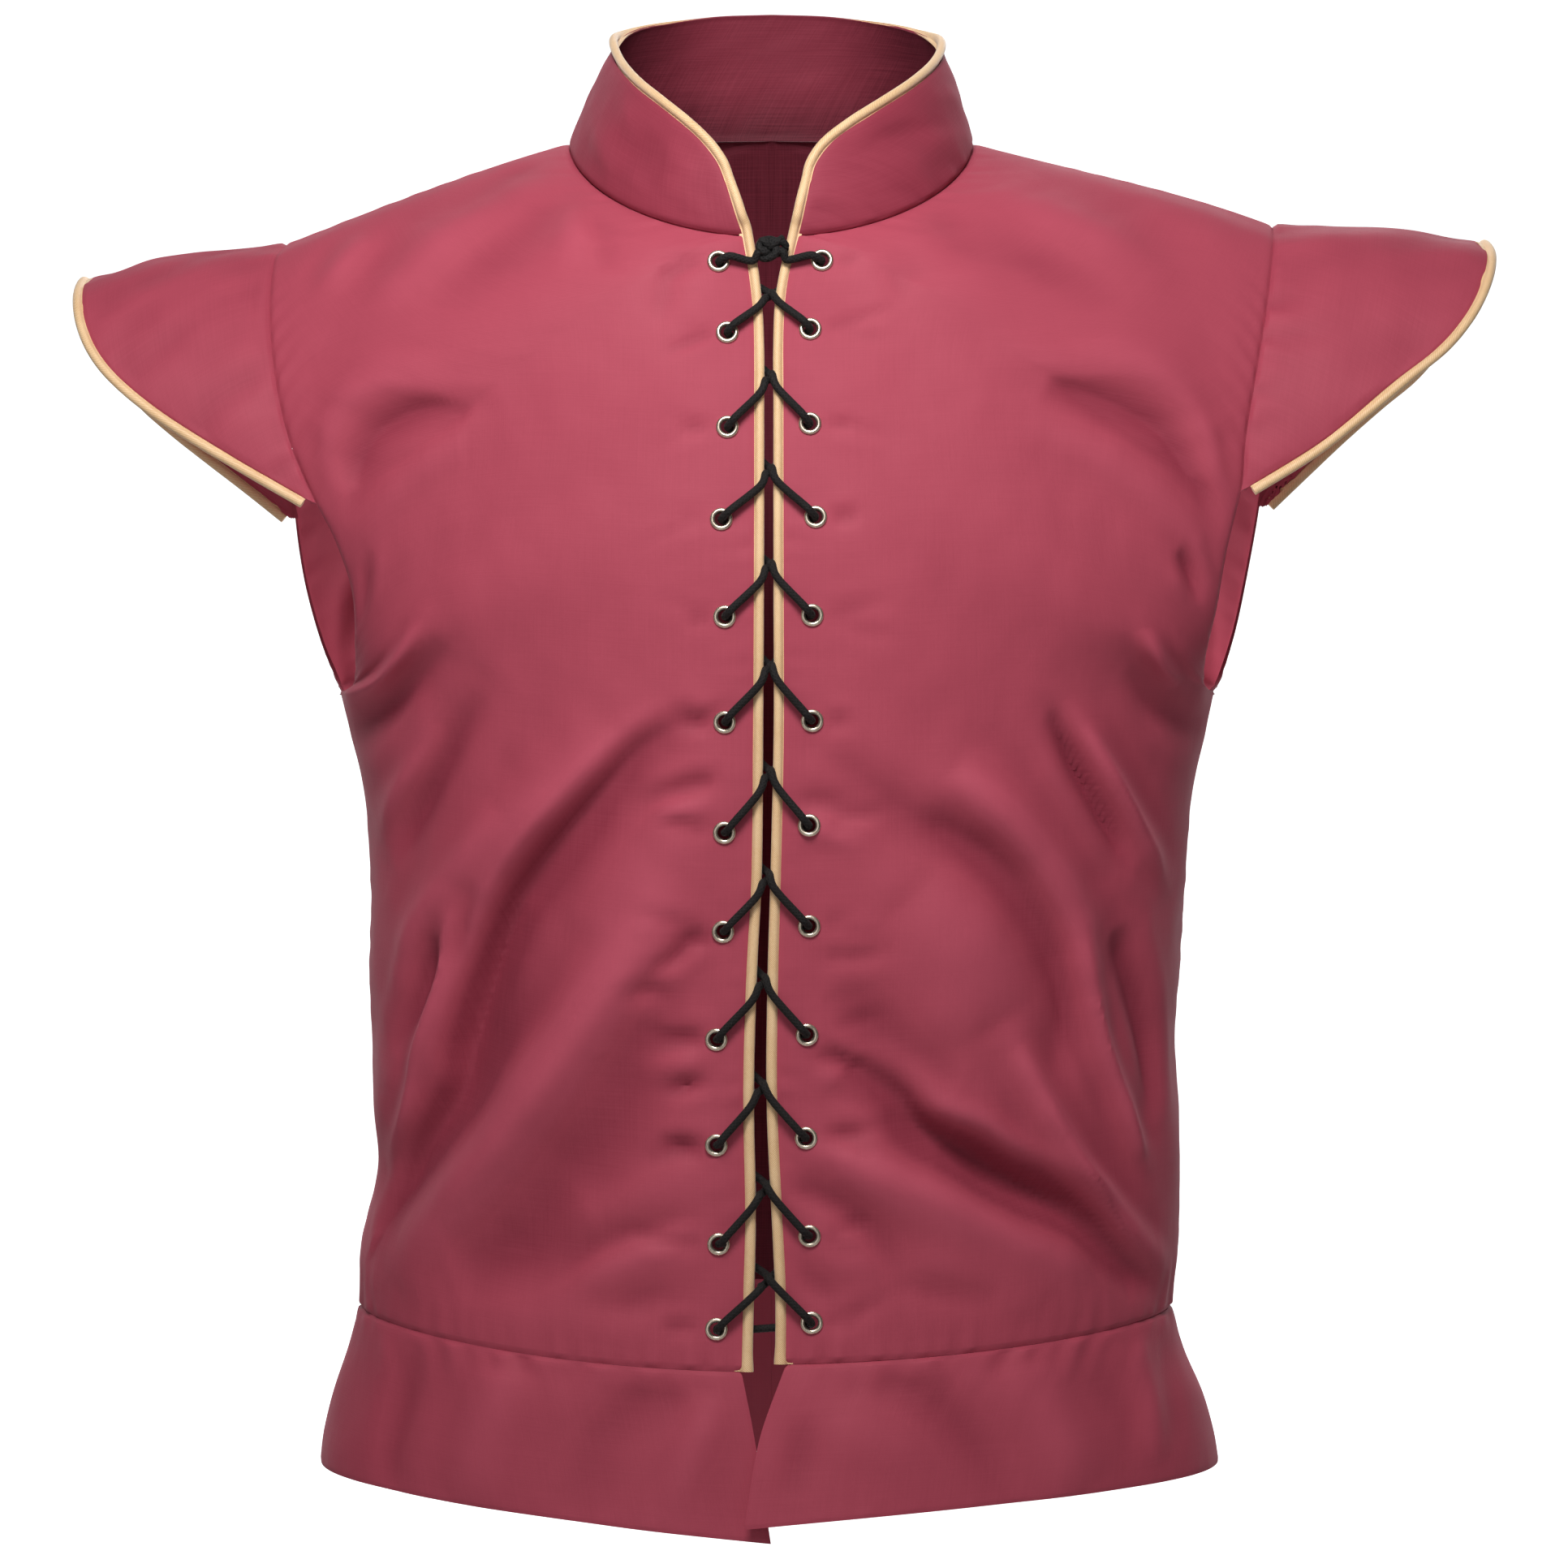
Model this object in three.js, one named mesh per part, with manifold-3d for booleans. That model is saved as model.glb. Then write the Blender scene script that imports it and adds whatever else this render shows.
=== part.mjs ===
import * as THREE from 'three';
import { mergeVertices } from 'three/addons/utils/BufferGeometryUtils.js';
import Module from 'manifold-3d';

// A sleeveless laced doublet, standing open and hollow as it is worn.
// Millimetres, +Z up, front towards -Y, the wearer's left towards +X.
// The origin is the middle of the neck base, level with the shoulder seams beside the collar.

const WALL = 2.2;
const SEAM_GAP = 0.3;

// Rows of points up a body panel: waist to underarm, then underarm to shoulder seam.
const BODY_ROWS = 12;
const UPPER_ROWS = 14;
const PANEL_ROWS = BODY_ROWS + UPPER_ROWS;
const FRONT_COLUMNS = 11;
const BACK_COLUMNS = 8;
const FRONT_NECK_ROW = 19;
const BACK_NECK_ROW = 21;
const WING_ROW = 19;
const WING_COLUMNS = 4;
const COLLAR_ROWS = 3;
const PEPLUM_ROWS = 3;

// The neck ring that the collar is sewn to.
const NECK_MIDDLE_X = 2;
const NECK_HALF_WIDTH = 100;
const NECK_FRONT_DEPTH = 104;
const NECK_BACK_DEPTH = 72;
const NECK_SIDE_Z = 3;
const NECK_FRONT_DROP = 56;
const NECK_BACK_RISE = 11;
const NECK_DROP_POWER = 1.15;
const NECK_OPENING_ANGLE = THREE.MathUtils.degToRad(7.7);
// Upward lean of the seam's edge at the middle and what it gains at the shoulder.
const NECK_FRONT_LEAN = { middle: 0.18, gain: 0.55 };
const NECK_BACK_LEAN = { middle: 0.45, gain: 0.28 };
const COLLAR_LIFT = 0.45;
const COLLAR_BULGE = 2;

const PIPING_RADIUS = 2.1;
const PIPING_SIDES = 6;
const PIPING_GAP = 0.55;
const PIPING_OFFSET = PIPING_RADIUS + PIPING_GAP;
const PIPING_HIDES_FROM = 0.46;
const PIPING_HIDDEN_BY = 0.68;
const PIPING_SWING = 0.2;
const PIPING_HIDDEN_DROP = 2.8;
const PIPING_DROPS_FROM = 0.75;

const LACE_RADIUS = 1.7;
const LACE_SIDES = 5;
const LACE_CROSSING_STEP = 1.95;
const LACE_OVER_PIPING = 4.4;
const LACE_RIM_HEIGHT = 4.3;
const LACE_RIM_REACH = 6.2;
const LACE_INSIDE_DEPTH = 6.4;
const LACE_INSIDE_REACH = 4;
const LACE_BAR_DROP = 8;
const LACE_IN_HOLE = -2.4;
const LACE_OUT_OF_HOLE = 2.2;
const LACE_PIPING_SHARE = 0.72;
const LACE_GAP_FRONT = 1.5;
const LACE_GAP_BACK = 3.2;
const LACE_GAP_RISE = 0.8;
const LACE_BEHIND_DEPTH = 7;
const LACE_BEHIND_RISE = 2;
const LACE_BEHIND_SHARE = 0.35;
const LACE_END = { x: 8.6, y: 1.2, z: 2.5 };

const EYELET_SIDES = 8;
const EYELET_HOLE = 3.2;
const EYELET_BARREL = 3.75;
const EYELET_FLANGE = 5.5;
const EYELET_THROAT = 0.9;
const EYELET_RIM_HEIGHT = 1.4;
const EYELET_ROLL = 0.9;
const EYELET_BACK_DEPTH = 2.9;
const EYELET_PANEL_HOLE = 4.3;
const EYELET_LIFT = 0.45;
const EYELET_SEARCH_COLUMNS = 3;
const EYELET_TURN = THREE.MathUtils.degToRad(8);

const WING_BULGE = 3.5;
const WING_SEAM_GAP = 0.36;
const WING_END_SHARE = 0.16;

const KNOT_RADIUS = 4.4;
const KNOT_SCALE = { x: 0.95, y: 0.7, z: 0.75 };
const KNOT_CENTRE = { x: 2.2, z: -59.5 };
const KNOT_FORWARD = 5.2;
const KNOT_STEPS = 36;
const KNOT_TURNS = { round: 2, through: 3 };

const RIGHT = { name: 'right', sign: -1 };
const LEFT = { name: 'left', sign: 1 };

/** Turns rows of numbers into objects with named columns. */
function table(columns, rows) {
  return rows.map((row) => Object.fromEntries(columns.map((name, i) => [name, row[i]])));
}

// Centre front edge of each front, waist (share 0) to neck (share 1).
const CENTRE_EDGE = table(['share', 'xRight', 'xLeft', 'y', 'zRight', 'zLeft'], [
  [0.00, -11.6, 9.3, -118, -589.0, -585.5],
  [0.06, -10.8, 9.3, -117, -554.0, -552.0],
  [0.13, -9.9, 7.6, -118, -516.0, -516.0],
  [0.24, -10.8, 5.2, -121, -459.0, -459.0],
  [0.35, -9.3, 5.7, -124, -402.0, -402.0],
  [0.43, -6.9, 6.9, -127, -356.0, -356.0],
  [0.56, -6.1, 8.3, -130, -287.0, -287.0],
  [0.69, -5.7, 8.2, -131, -220.0, -220.0],
  [0.85, -5.6, 8.1, -121, -130.0, -130.0],
  [0.92, -5.9, 8.2, -113, -95.0, -95.0],
  [0.96, -7.8, 10.2, -108, -74.0, -74.0],
]);

// Side seam, waist (share 0) to underarm (share 1), in the plane y = 0.
const SIDE_SEAM = table(['share', 'xRight', 'xLeft', 'z'], [
  [0.00, -200.4, 199.2, -568],
  [0.10, -199.8, 202.6, -538],
  [0.20, -192.6, 203.2, -508],
  [0.25, -190.8, 203.2, -493],
  [0.33, -193.6, 202.8, -469],
  [0.44, -194.4, 200.8, -436],
  [0.55, -195.8, 203.4, -402],
  [0.68, -194.8, 205.6, -363],
  [0.84, -198.2, 209.4, -315],
  [0.94, -205.2, 216.0, -285],
  [1.00, -210.0, 220.0, -267],
]);

// Front and back armhole edges, underarm (share 0) to shoulder seam (share 1).
const ARMHOLE_COLUMNS = ['share', 'y', 'xRight', 'zRight', 'xLeft', 'zLeft'];
const ARMHOLE_FRONT = table(ARMHOLE_COLUMNS, [
  [0.00, 0, -210.0, -267, 220.0, -267],
  [0.10, -32, -201.0, -264, 213.0, -264],
  [0.21, -58, -194.5, -246, 209.0, -250],
  [0.32, -72, -194.5, -220, 211.5, -228],
  [0.42, -77, -204.0, -196, 218.0, -200],
  [0.50, -78, -216.0, -178, 227.5, -172],
  [0.62, -75, -228.0, -150, 230.0, -146],
  [0.75, -67, -236.0, -119, 236.0, -113],
  [0.87, -48, -241.0, -83, 243.0, -77],
  [0.95, -23, -241.0, -56, 248.0, -48],
  [1.00, 0, -237.0, -46, 249.6, -37],
]);
const ARMHOLE_BACK = table(ARMHOLE_COLUMNS, [
  [0.00, 0, -210.0, -267, 220.0, -267],
  [0.12, 34, -216.0, -260, 227.0, -260],
  [0.25, 58, -226.0, -240, 236.0, -238],
  [0.38, 71, -235.0, -210, 243.0, -210],
  [0.50, 76, -240.0, -178, 250.0, -172],
  [0.62, 75, -241.0, -149, 252.5, -143],
  [0.75, 68, -242.0, -116, 253.0, -109],
  [0.87, 48, -242.5, -80, 252.5, -73],
  [0.95, 23, -241.0, -56, 251.0, -47],
  [1.00, 0, -237.0, -46, 249.6, -37],
]);

// Middle of the back, waist (share 0) to neck (share 1).
const CENTRE_BACK = table(['share', 'y', 'z'], [
  [0.00, 106, -566],
  [0.12, 102, -498],
  [0.30, 112, -396],
  [0.48, 125, -294],
  [0.66, 135, -190],
  [0.80, 130, -108],
  [0.92, 102, -36],
]);

// Curve of each row of a panel. The first three columns lead away from its inner edge,
// outwards, backwards and up. The last three lead in from its outer edge.
const HANDLE_COLUMNS = ['share', 'innerX', 'innerY', 'innerZ', 'outerX', 'outerY', 'outerZ'];
const FRONT_HANDLES = table(HANDLE_COLUMNS, [
  [0.00, 108, -2, 2, 0, -68, -2],
  [0.25, 106, -3, 0, 0, -70, 0],
  [0.50, 100, -4, -4, 0, -72, 0],
  [0.61, 92, -6, -8, -28, -42, 4],
  [0.75, 66, -12, -16, -52, -30, 8],
  [0.88, 44, -16, -18, -50, -18, 14],
  [0.95, 46, -8, -12, -49, -8, 18],
  [1.00, 46, 0, -12, -48, 0, 19],
]);
const BACK_HANDLES = table(HANDLE_COLUMNS, [
  [0.00, 108, 2, 0, 0, 62, 0],
  [0.25, 108, 2, 0, 0, 66, 0],
  [0.50, 104, 2, 0, 0, 72, 0],
  [0.61, 98, 2, -2, -22, 46, 2],
  [0.73, 84, 4, -6, -40, 32, 6],
  [0.82, 54, 14, -12, -50, 26, 12],
  [0.89, 42, 14, -14, -50, 18, 14],
  [0.95, 46, 7, -12, -49, 8, 18],
  [1.00, 46, 0, -12, -48, 0, 19],
]);

// Outer edge of each shoulder wing, lower end (share 0) to the top of the shoulder (share 1).
const WING_EDGE = table(
  ['share', 'y', 'xRight', 'xBackRight', 'zRight', 'xLeft', 'xBackLeft', 'zLeft'], [
    [0.00, 78, -220.5, -243.5, -176, 231.5, 253.5, -170],
    [0.14, 76, -257.0, -268.0, -155, 268.0, 276.0, -147],
    [0.29, 73, -290.0, -293.0, -134, 299.0, 302.0, -121],
    [0.43, 67, -312.0, -313.0, -116, 322.0, 323.0, -103],
    [0.57, 58, -324.5, -324.5, -100, 337.0, 337.0, -86],
    [0.71, 46, -331.0, -331.0, -84, 346.0, 346.0, -70],
    [0.86, 27, -333.5, -333.5, -70, 351.5, 351.5, -54],
    [1.00, 0, -333.5, -333.5, -63, 350.5, 350.5, -45],
  ]);
const WING_BACK_SAG = 4;

// Top edge of the collar, centre front (share 0) to centre back (share 1).
const COLLAR_TOP = table(['share', 'xRight', 'xLeft', 'y', 'z'], [
  [0.00, -19.4, 20.9, -96.5, -26.5],
  [0.10, -24.0, 24.5, -93.5, -16.5],
  [0.20, -33.0, 34.0, -88.0, -5.0],
  [0.30, -47.0, 52.0, -77.0, 8.0],
  [0.42, -65.5, 74.5, -51.0, 26.0],
  [0.53, -75.5, 86.5, -17.0, 43.5],
  [0.62, -73.0, 81.5, 9.0, 56.0],
  [0.71, -64.5, 69.5, 28.0, 64.0],
  [0.81, -48.0, 54.0, 44.0, 69.5],
  [0.91, -25.0, 30.0, 55.0, 74.0],
  [1.00, 2.0, 2.0, 59.0, 75.5],
]);

// Peplum edges, waist seam (share 0) to hem (share 1). The left front laps over the right.
const PEPLUM_FRONT_EDGE = table(
  ['share', 'xRight', 'yRight', 'zRight', 'xLeft', 'yLeft', 'zLeft'], [
    [0.00, -11.6, -118.0, -589, 9.3, -118.0, -585.5],
    [0.40, -5.4, -122.5, -620, -3.0, -128.5, -619.0],
    [1.00, 2.3, -126.0, -669, -10.2, -135.0, -661.0],
  ]);
const PEPLUM_SIDE_EDGE = table(['share', 'xRight', 'xLeft', 'z'], [
  [0.00, -200.4, 199.2, -568],
  [0.30, -206.6, 205.4, -590],
  [0.60, -213.8, 214.8, -612],
  [0.80, -218.2, 220.0, -630],
  [1.00, -220.0, 222.6, -645],
]);
const PEPLUM_BACK_EDGE = table(['share', 'y', 'z'], [
  [0.00, 106, -566],
  [0.50, 114, -606],
  [1.00, 128, -647],
]);
const PEPLUM_FRONT_HANDLES = table(HANDLE_COLUMNS, [
  [0.00, 108, -2, 2, 0, -68, -2],
  [1.00, 104, -1, 10, 0, -76, -3],
]);
const PEPLUM_BACK_HANDLES = table(HANDLE_COLUMNS, [
  [0.00, 108, 2, 0, 0, 62, 0],
  [1.00, 116, 2, 0, 0, 72, 0],
]);

// Folds: a run of four points seen from the front, with depth (below zero is a trough) and width.
const FOLD_COLUMNS = ['depth', 'width', 'x0', 'z0', 'x1', 'z1', 'x2', 'z2', 'x3', 'z3'];
const FOLDS_RIGHT = table(FOLD_COLUMNS, [
  [-9, 17, -46, -284, -98, -333, -137, -410, -182, -508],
  [6, 16, -66, -392, -98, -444, -128, -487, -170, -528],
  [-5, 16, -132, -272, -147, -299, -168, -325, -180, -358],
  [5, 11, -151, -375, -158, -417, -170, -448, -181, -478],
  [-5, 22, -66, -452, -92, -486, -114, -514, -146, -538],
  [-7, 13, -164, -128, -180, -137, -192, -148, -204, -174],
]);
const FOLDS_LEFT = table(FOLD_COLUMNS, [
  [-6, 17, 42, -301, 100, -343, 132, -405, 147, -478],
  [5, 14, 68, -287, 112, -328, 140, -366, 160, -440],
  [-6, 13, 137, -299, 152, -322, 166, -348, 176, -380],
  [-10, 17, 48, -451, 80, -480, 126, -500, 172, -538],
  [6, 12, 116, -436, 136, -474, 162, -505, 186, -534],
  [-7, 13, 152, -124, 176, -135, 194, -148, 208, -172],
]);
const FOLDS_BACK = table(FOLD_COLUMNS, [
  [-8, 19, -32, -330, -84, -386, -124, -440, -168, -500],
  [6, 17, -40, -420, -82, -462, -118, -496, -156, -528],
  [-7, 19, 44, -318, 92, -370, 132, -432, 172, -508],
  [6, 17, 60, -426, 96, -470, 130, -502, 168, -530],
  [-5, 20, -150, -200, -120, -236, -84, -262, -40, -276],
  [-5, 20, 158, -190, 122, -230, 92, -258, 52, -270],
]);
const FOLDS_PEPLUM_RIGHT = table(FOLD_COLUMNS, [
  [-4, 15, -42, -590, -62, -606, -80, -625, -96, -660],
  [4, 17, -120, -585, -130, -605, -138, -630, -144, -660],
]);
const FOLDS_PEPLUM_LEFT = table(FOLD_COLUMNS, [
  [-6, 13, 48, -584, 74, -600, 92, -614, 112, -650],
  [4, 17, 120, -585, 132, -605, 142, -630, 150, -660],
]);
const FOLDS_PEPLUM_BACK = table(FOLD_COLUMNS, [
  [-5, 17, -70, -575, -80, -600, -88, -625, -96, -655],
  [5, 17, 10, -575, 6, -600, 2, -625, 0, -655],
  [-5, 17, 84, -575, 94, -600, 104, -625, 112, -655],
]);
const FOLD_STEPS = 10;
const FOLD_END = 0.14;
// Shares of a panel over which its folds fade in from each edge.
const FADE_INNER = { from: 0.04, to: 0.2 };
const FADE_OUTER = 0.14;
const FADE_WAIST = 0.07;
const FADE_SHOULDER = 0.1;
const NORMAL_STEP = 0.004;

// Eyelet centres, top row first, seen from the front.
const EYELET_ROWS = table(['xRight', 'zRight', 'xLeft', 'zLeft'], [
  [-22.6, -65.5, 26.4, -65.0],
  [-18.4, -99.7, 20.8, -98.1],
  [-18.2, -144.8, 20.6, -143.2],
  [-21.0, -188.4, 23.2, -187.3],
  [-19.4, -234.1, 21.6, -233.4],
  [-19.4, -283.5, 21.6, -282.8],
  [-19.6, -335.2, 20.2, -331.8],
  [-20.2, -381.7, 20.2, -379.1],
  [-23.4, -432.5, 19.2, -430.2],
  [-23.4, -482.2, 18.8, -478.8],
  [-22.4, -528.9, 20.4, -525.1],
  [-23.4, -569.0, 21.4, -566.0],
]);

const CLOTH = { color: 0xac4b5c, roughness: 0.62, metalness: 0 };
const GOLD_CORD = { color: 0xebbf9a, roughness: 0.5, metalness: 0 };
const NICKEL = { color: 0xc9c4bd, roughness: 0.3, metalness: 1 };
const BLACK_CORD = { color: 0x1c1413, roughness: 0.8, metalness: 0 };

/** Value of every column at a share of the way along a table, on a smooth curve. */
function between(rows, share) {
  const last = rows.length - 1;
  let k = 0;
  while (k < last - 1 && share > rows[k + 1].share) k += 1;
  const a = rows[k];
  const b = rows[k + 1];
  const before = rows[Math.max(k - 1, 0)];
  const after = rows[Math.min(k + 2, last)];
  const span = b.share - a.share;
  const t = THREE.MathUtils.clamp((share - a.share) / span, 0, 1);
  const value = {};
  for (const name of Object.keys(a)) {
    const slopeA = ((b[name] - before[name]) / (b.share - before.share)) * span;
    const slopeB = ((after[name] - a[name]) / (after.share - a.share)) * span;
    const bend = t * t * (3 - 2 * t);
    value[name] = a[name] * (1 - bend) + b[name] * bend
      + slopeA * t * (1 - t) * (1 - t) - slopeB * t * t * (1 - t);
  }
  return value;
}

/** Picks the right or left columns out of a row, with y where there is only one. */
function sidePoint(row, side) {
  const suffix = side === RIGHT ? 'Right' : 'Left';
  return new THREE.Vector3(
    row[`x${suffix}`] ?? NECK_MIDDLE_X,
    row[`y${suffix}`] ?? row.y ?? 0,
    row[`z${suffix}`] ?? row.z,
  );
}

/** Point of the neck ring: angle 0 is the front, a quarter turn the shoulder, half the back. */
function neckPoint(side, angle) {
  const forward = Math.cos(angle);
  const share = Math.abs(forward);
  const x = NECK_MIDDLE_X + side.sign * NECK_HALF_WIDTH * Math.sin(angle);
  if (forward > 0) {
    const drop = NECK_FRONT_DROP * share ** NECK_DROP_POWER;
    return new THREE.Vector3(x, -NECK_FRONT_DEPTH * forward, NECK_SIDE_Z - drop);
  }
  return new THREE.Vector3(x, NECK_BACK_DEPTH * share, NECK_SIDE_Z + NECK_BACK_RISE * share);
}

/** Way that the seam's edge faces at the neck, shared by body and collar. */
function neckDirection(side, angle) {
  const lean = Math.cos(angle) > 0 ? NECK_FRONT_LEAN : NECK_BACK_LEAN;
  const rise = lean.middle + lean.gain * Math.sin(angle) ** 2;
  const direction = new THREE.Vector3(side.sign * Math.sin(angle), -Math.cos(angle), rise);
  return direction.normalize();
}

function frontNeckAngle(share) {
  const start = FRONT_NECK_ROW / PANEL_ROWS;
  return THREE.MathUtils.mapLinear(share, start, 1, NECK_OPENING_ANGLE, Math.PI / 2);
}

function backNeckAngle(share) {
  return THREE.MathUtils.mapLinear(share, BACK_NECK_ROW / PANEL_ROWS, 1, Math.PI, Math.PI / 2);
}

/** Share of the way up a panel, waist to shoulder, at each of its rows. */
function rowShare(row) {
  return row / PANEL_ROWS;
}

const UNDERARM_SHARE = rowShare(BODY_ROWS);

function outerEdge(side, armhole, share) {
  if (share <= UNDERARM_SHARE) {
    return sidePoint(between(SIDE_SEAM, share / UNDERARM_SHARE), side);
  }
  return sidePoint(between(armhole, (share - UNDERARM_SHARE) / (1 - UNDERARM_SHARE)), side);
}

function frontInnerEdge(side, share) {
  const neckStart = rowShare(FRONT_NECK_ROW);
  if (share > neckStart) return neckPoint(side, frontNeckAngle(share));
  const neck = neckPoint(side, NECK_OPENING_ANGLE);
  const top = { share: 1, xRight: neck.x, xLeft: neck.x, y: neck.y, zRight: neck.z, zLeft: neck.z };
  return sidePoint(between([...CENTRE_EDGE, top], share / neckStart), side);
}

function backInnerEdge(side, share) {
  const neckStart = rowShare(BACK_NECK_ROW);
  if (share > neckStart) return neckPoint(side, backNeckAngle(share));
  const neck = neckPoint(side, Math.PI);
  const top = { share: 1, y: neck.y, z: neck.z };
  return sidePoint(between([...CENTRE_BACK, top], share / neckStart), side);
}

/** A smooth surface between two edges: across runs 0 to 1 outwards, up runs 0 to 1. */
function surfaceBetween(side, innerEdgeAt, outerEdgeAt, handles) {
  return (across, up) => {
    const inner = innerEdgeAt(up);
    const outer = outerEdgeAt(up);
    const row = between(handles, up);
    const lead = new THREE.Vector3(side.sign * row.innerX, row.innerY, row.innerZ);
    const tail = new THREE.Vector3(side.sign * row.outerX, row.outerY, row.outerZ);
    const curve = new THREE.CubicBezierCurve3(
      inner,
      lead.add(inner),
      tail.add(outer),
      outer,
    );
    return curve.getPoint(across);
  };
}

/** Outward unit normal of a surface, by small steps. */
function surfaceNormal(surface, side, facing, across, up) {
  const left = Math.max(across - NORMAL_STEP, 0);
  const right = Math.min(across + NORMAL_STEP, 1);
  const low = Math.max(up - NORMAL_STEP, 0);
  const high = Math.min(up + NORMAL_STEP, 1);
  const sideways = surface(right, up).sub(surface(left, up));
  const upwards = surface(across, high).sub(surface(across, low));
  return sideways.cross(upwards).multiplyScalar(side.sign * facing).normalize();
}

/** Height of the folds over the smooth surface at a point seen from the front. */
function foldHeight(folds, point) {
  let height = 0;
  for (const fold of folds) {
    const run = new THREE.CatmullRomCurve3([
      new THREE.Vector3(fold.x0, 0, fold.z0),
      new THREE.Vector3(fold.x1, 0, fold.z1),
      new THREE.Vector3(fold.x2, 0, fold.z2),
      new THREE.Vector3(fold.x3, 0, fold.z3),
    ]).getPoints(FOLD_STEPS);
    let nearest = Infinity;
    let place = 0;
    run.forEach((spot, i) => {
      const distance = Math.hypot(spot.x - point.x, spot.z - point.z);
      if (distance < nearest) {
        nearest = distance;
        place = i / FOLD_STEPS;
      }
    });
    const strength = Math.sin(Math.PI * (FOLD_END + (1 - 2 * FOLD_END) * place));
    height += fold.depth * strength * Math.exp(-((nearest / fold.width) ** 2));
  }
  return height;
}

/** Fades the folds out towards the sewn edges. */
function edgeFade(across, up) {
  const sides = THREE.MathUtils.smoothstep(across, FADE_INNER.from, FADE_INNER.to)
    * THREE.MathUtils.smoothstep(1 - across, 0, FADE_OUTER);
  const ends = THREE.MathUtils.smoothstep(up, 0, FADE_WAIST)
    * THREE.MathUtils.smoothstep(1 - up, 0, FADE_SHOULDER);
  return sides * ends;
}

/** Rows of outer points of a panel, folds raised. */
function outerGrid(surface, side, facing, rows, columns, folds) {
  const grid = [];
  for (let row = 0; row <= rows; row += 1) {
    const points = [];
    for (let column = 0; column <= columns; column += 1) {
      const across = column / columns;
      const up = row / rows;
      const point = surface(across, up);
      const raise = foldHeight(folds, point) * edgeFade(across, up);
      const normal = surfaceNormal(surface, side, facing, across, up);
      points.push(point.addScaledVector(normal, raise));
    }
    grid.push(points);
  }
  return grid;
}

/** Outward normal at a grid point, from its neighbours. */
function gridNormal(grid, row, column, flip) {
  const lower = grid[Math.max(row - 1, 0)][column];
  const upper = grid[Math.min(row + 1, grid.length - 1)][column];
  const before = grid[row][Math.max(column - 1, 0)];
  const after = grid[row][Math.min(column + 1, grid[row].length - 1)];
  const sideways = after.clone().sub(before);
  const upwards = upper.clone().sub(lower);
  return sideways.cross(upwards).multiplyScalar(flip).normalize();
}

/** Inner points a wall's thickness in, straight in at seams where a direction is given. */
function innerGrid(outer, flip, seamDirection) {
  return outer.map((points, row) => points.map((point, column) => {
    const normal = gridNormal(outer, row, column, flip);
    const direction = seamDirection(row, column, normal) ?? normal;
    return point.clone().addScaledVector(direction, -WALL);
  }));
}

/** Triangles of a wall between outer and inner grids, leaving out what isOpen names. */
function wallTriangles(outer, inner, flip, isOpen = () => false) {
  const corners = [];
  const rows = outer.length - 1;
  const columns = outer[0].length - 1;
  const quad = (a, b, c, d) => {
    const order = flip > 0 ? [a, b, c, a, c, d] : [a, c, b, a, d, c];
    for (const point of order) corners.push(point.x, point.y, point.z);
  };
  for (let row = 0; row < rows; row += 1) {
    for (let column = 0; column < columns; column += 1) {
      const next = column + 1;
      quad(outer[row][column], outer[row][next], outer[row + 1][next], outer[row + 1][column]);
      quad(inner[row][column], inner[row + 1][column], inner[row + 1][next], inner[row][next]);
    }
    if (!isOpen(row)) {
      quad(outer[row][0], outer[row + 1][0], inner[row + 1][0], inner[row][0]);
    }
    quad(outer[row][columns], inner[row][columns], inner[row + 1][columns],
      outer[row + 1][columns]);
  }
  for (let column = 0; column < columns; column += 1) {
    const next = column + 1;
    quad(outer[0][column], inner[0][column], inner[0][next], outer[0][next]);
    quad(outer[rows][column], outer[rows][next], inner[rows][next], inner[rows][column]);
  }
  return corners;
}

function geometryFromCorners(corners) {
  const geometry = new THREE.BufferGeometry();
  geometry.setAttribute('position', new THREE.Float32BufferAttribute(corners, 3));
  const merged = mergeVertices(geometry, 1e-3);
  merged.computeVertexNormals();
  return merged;
}

const group = new THREE.Group();

function addMesh(name, geometry, finish) {
  const mesh = new THREE.Mesh(geometry, new THREE.MeshStandardMaterial(finish));
  mesh.name = name;
  group.add(mesh);
  return mesh;
}

function shift(grid, row, column, offset) {
  grid[row][column].add(offset);
}

/** Moves a panel's sewn edges half a seam gap back from the seam lines. */
function openSeams(grid, facing) {
  const half = SEAM_GAP / 2;
  const last = grid[0].length - 1;
  const back = new THREE.Vector3(0, -facing * half, 0);
  for (let row = 0; row <= BODY_ROWS; row += 1) shift(grid, row, last, back);
  for (let column = 0; column <= last; column += 1) {
    shift(grid, PANEL_ROWS, column, back);
    shift(grid, 0, column, new THREE.Vector3(0, 0, half));
  }
}

/** Directions of a body panel's seam faces. */
function panelSeamDirection(side, columns, neckRow, neckAngle) {
  return (row, column, normal) => {
    if (row === PANEL_ROWS && column > 0) return new THREE.Vector3(0, 0, 1);
    if (row >= neckRow && column === 0) return neckDirection(side, neckAngle(rowShare(row)));
    if (row <= BODY_ROWS && column === columns) return new THREE.Vector3(side.sign, 0, 0);
    if (row === 0) return normal.clone().setZ(0).normalize();
    return null;
  };
}

/** One front: the grids of its wall. */
function frontPanel(side, folds) {
  const surface = surfaceBetween(
    side,
    (up) => frontInnerEdge(side, up),
    (up) => outerEdge(side, ARMHOLE_FRONT, up),
    FRONT_HANDLES,
  );
  const outer = outerGrid(surface, side, 1, PANEL_ROWS, FRONT_COLUMNS, folds);
  openSeams(outer, 1);
  const direction = panelSeamDirection(side, FRONT_COLUMNS, FRONT_NECK_ROW, frontNeckAngle);
  return { side, outer, inner: innerGrid(outer, side.sign, direction) };
}

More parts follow.
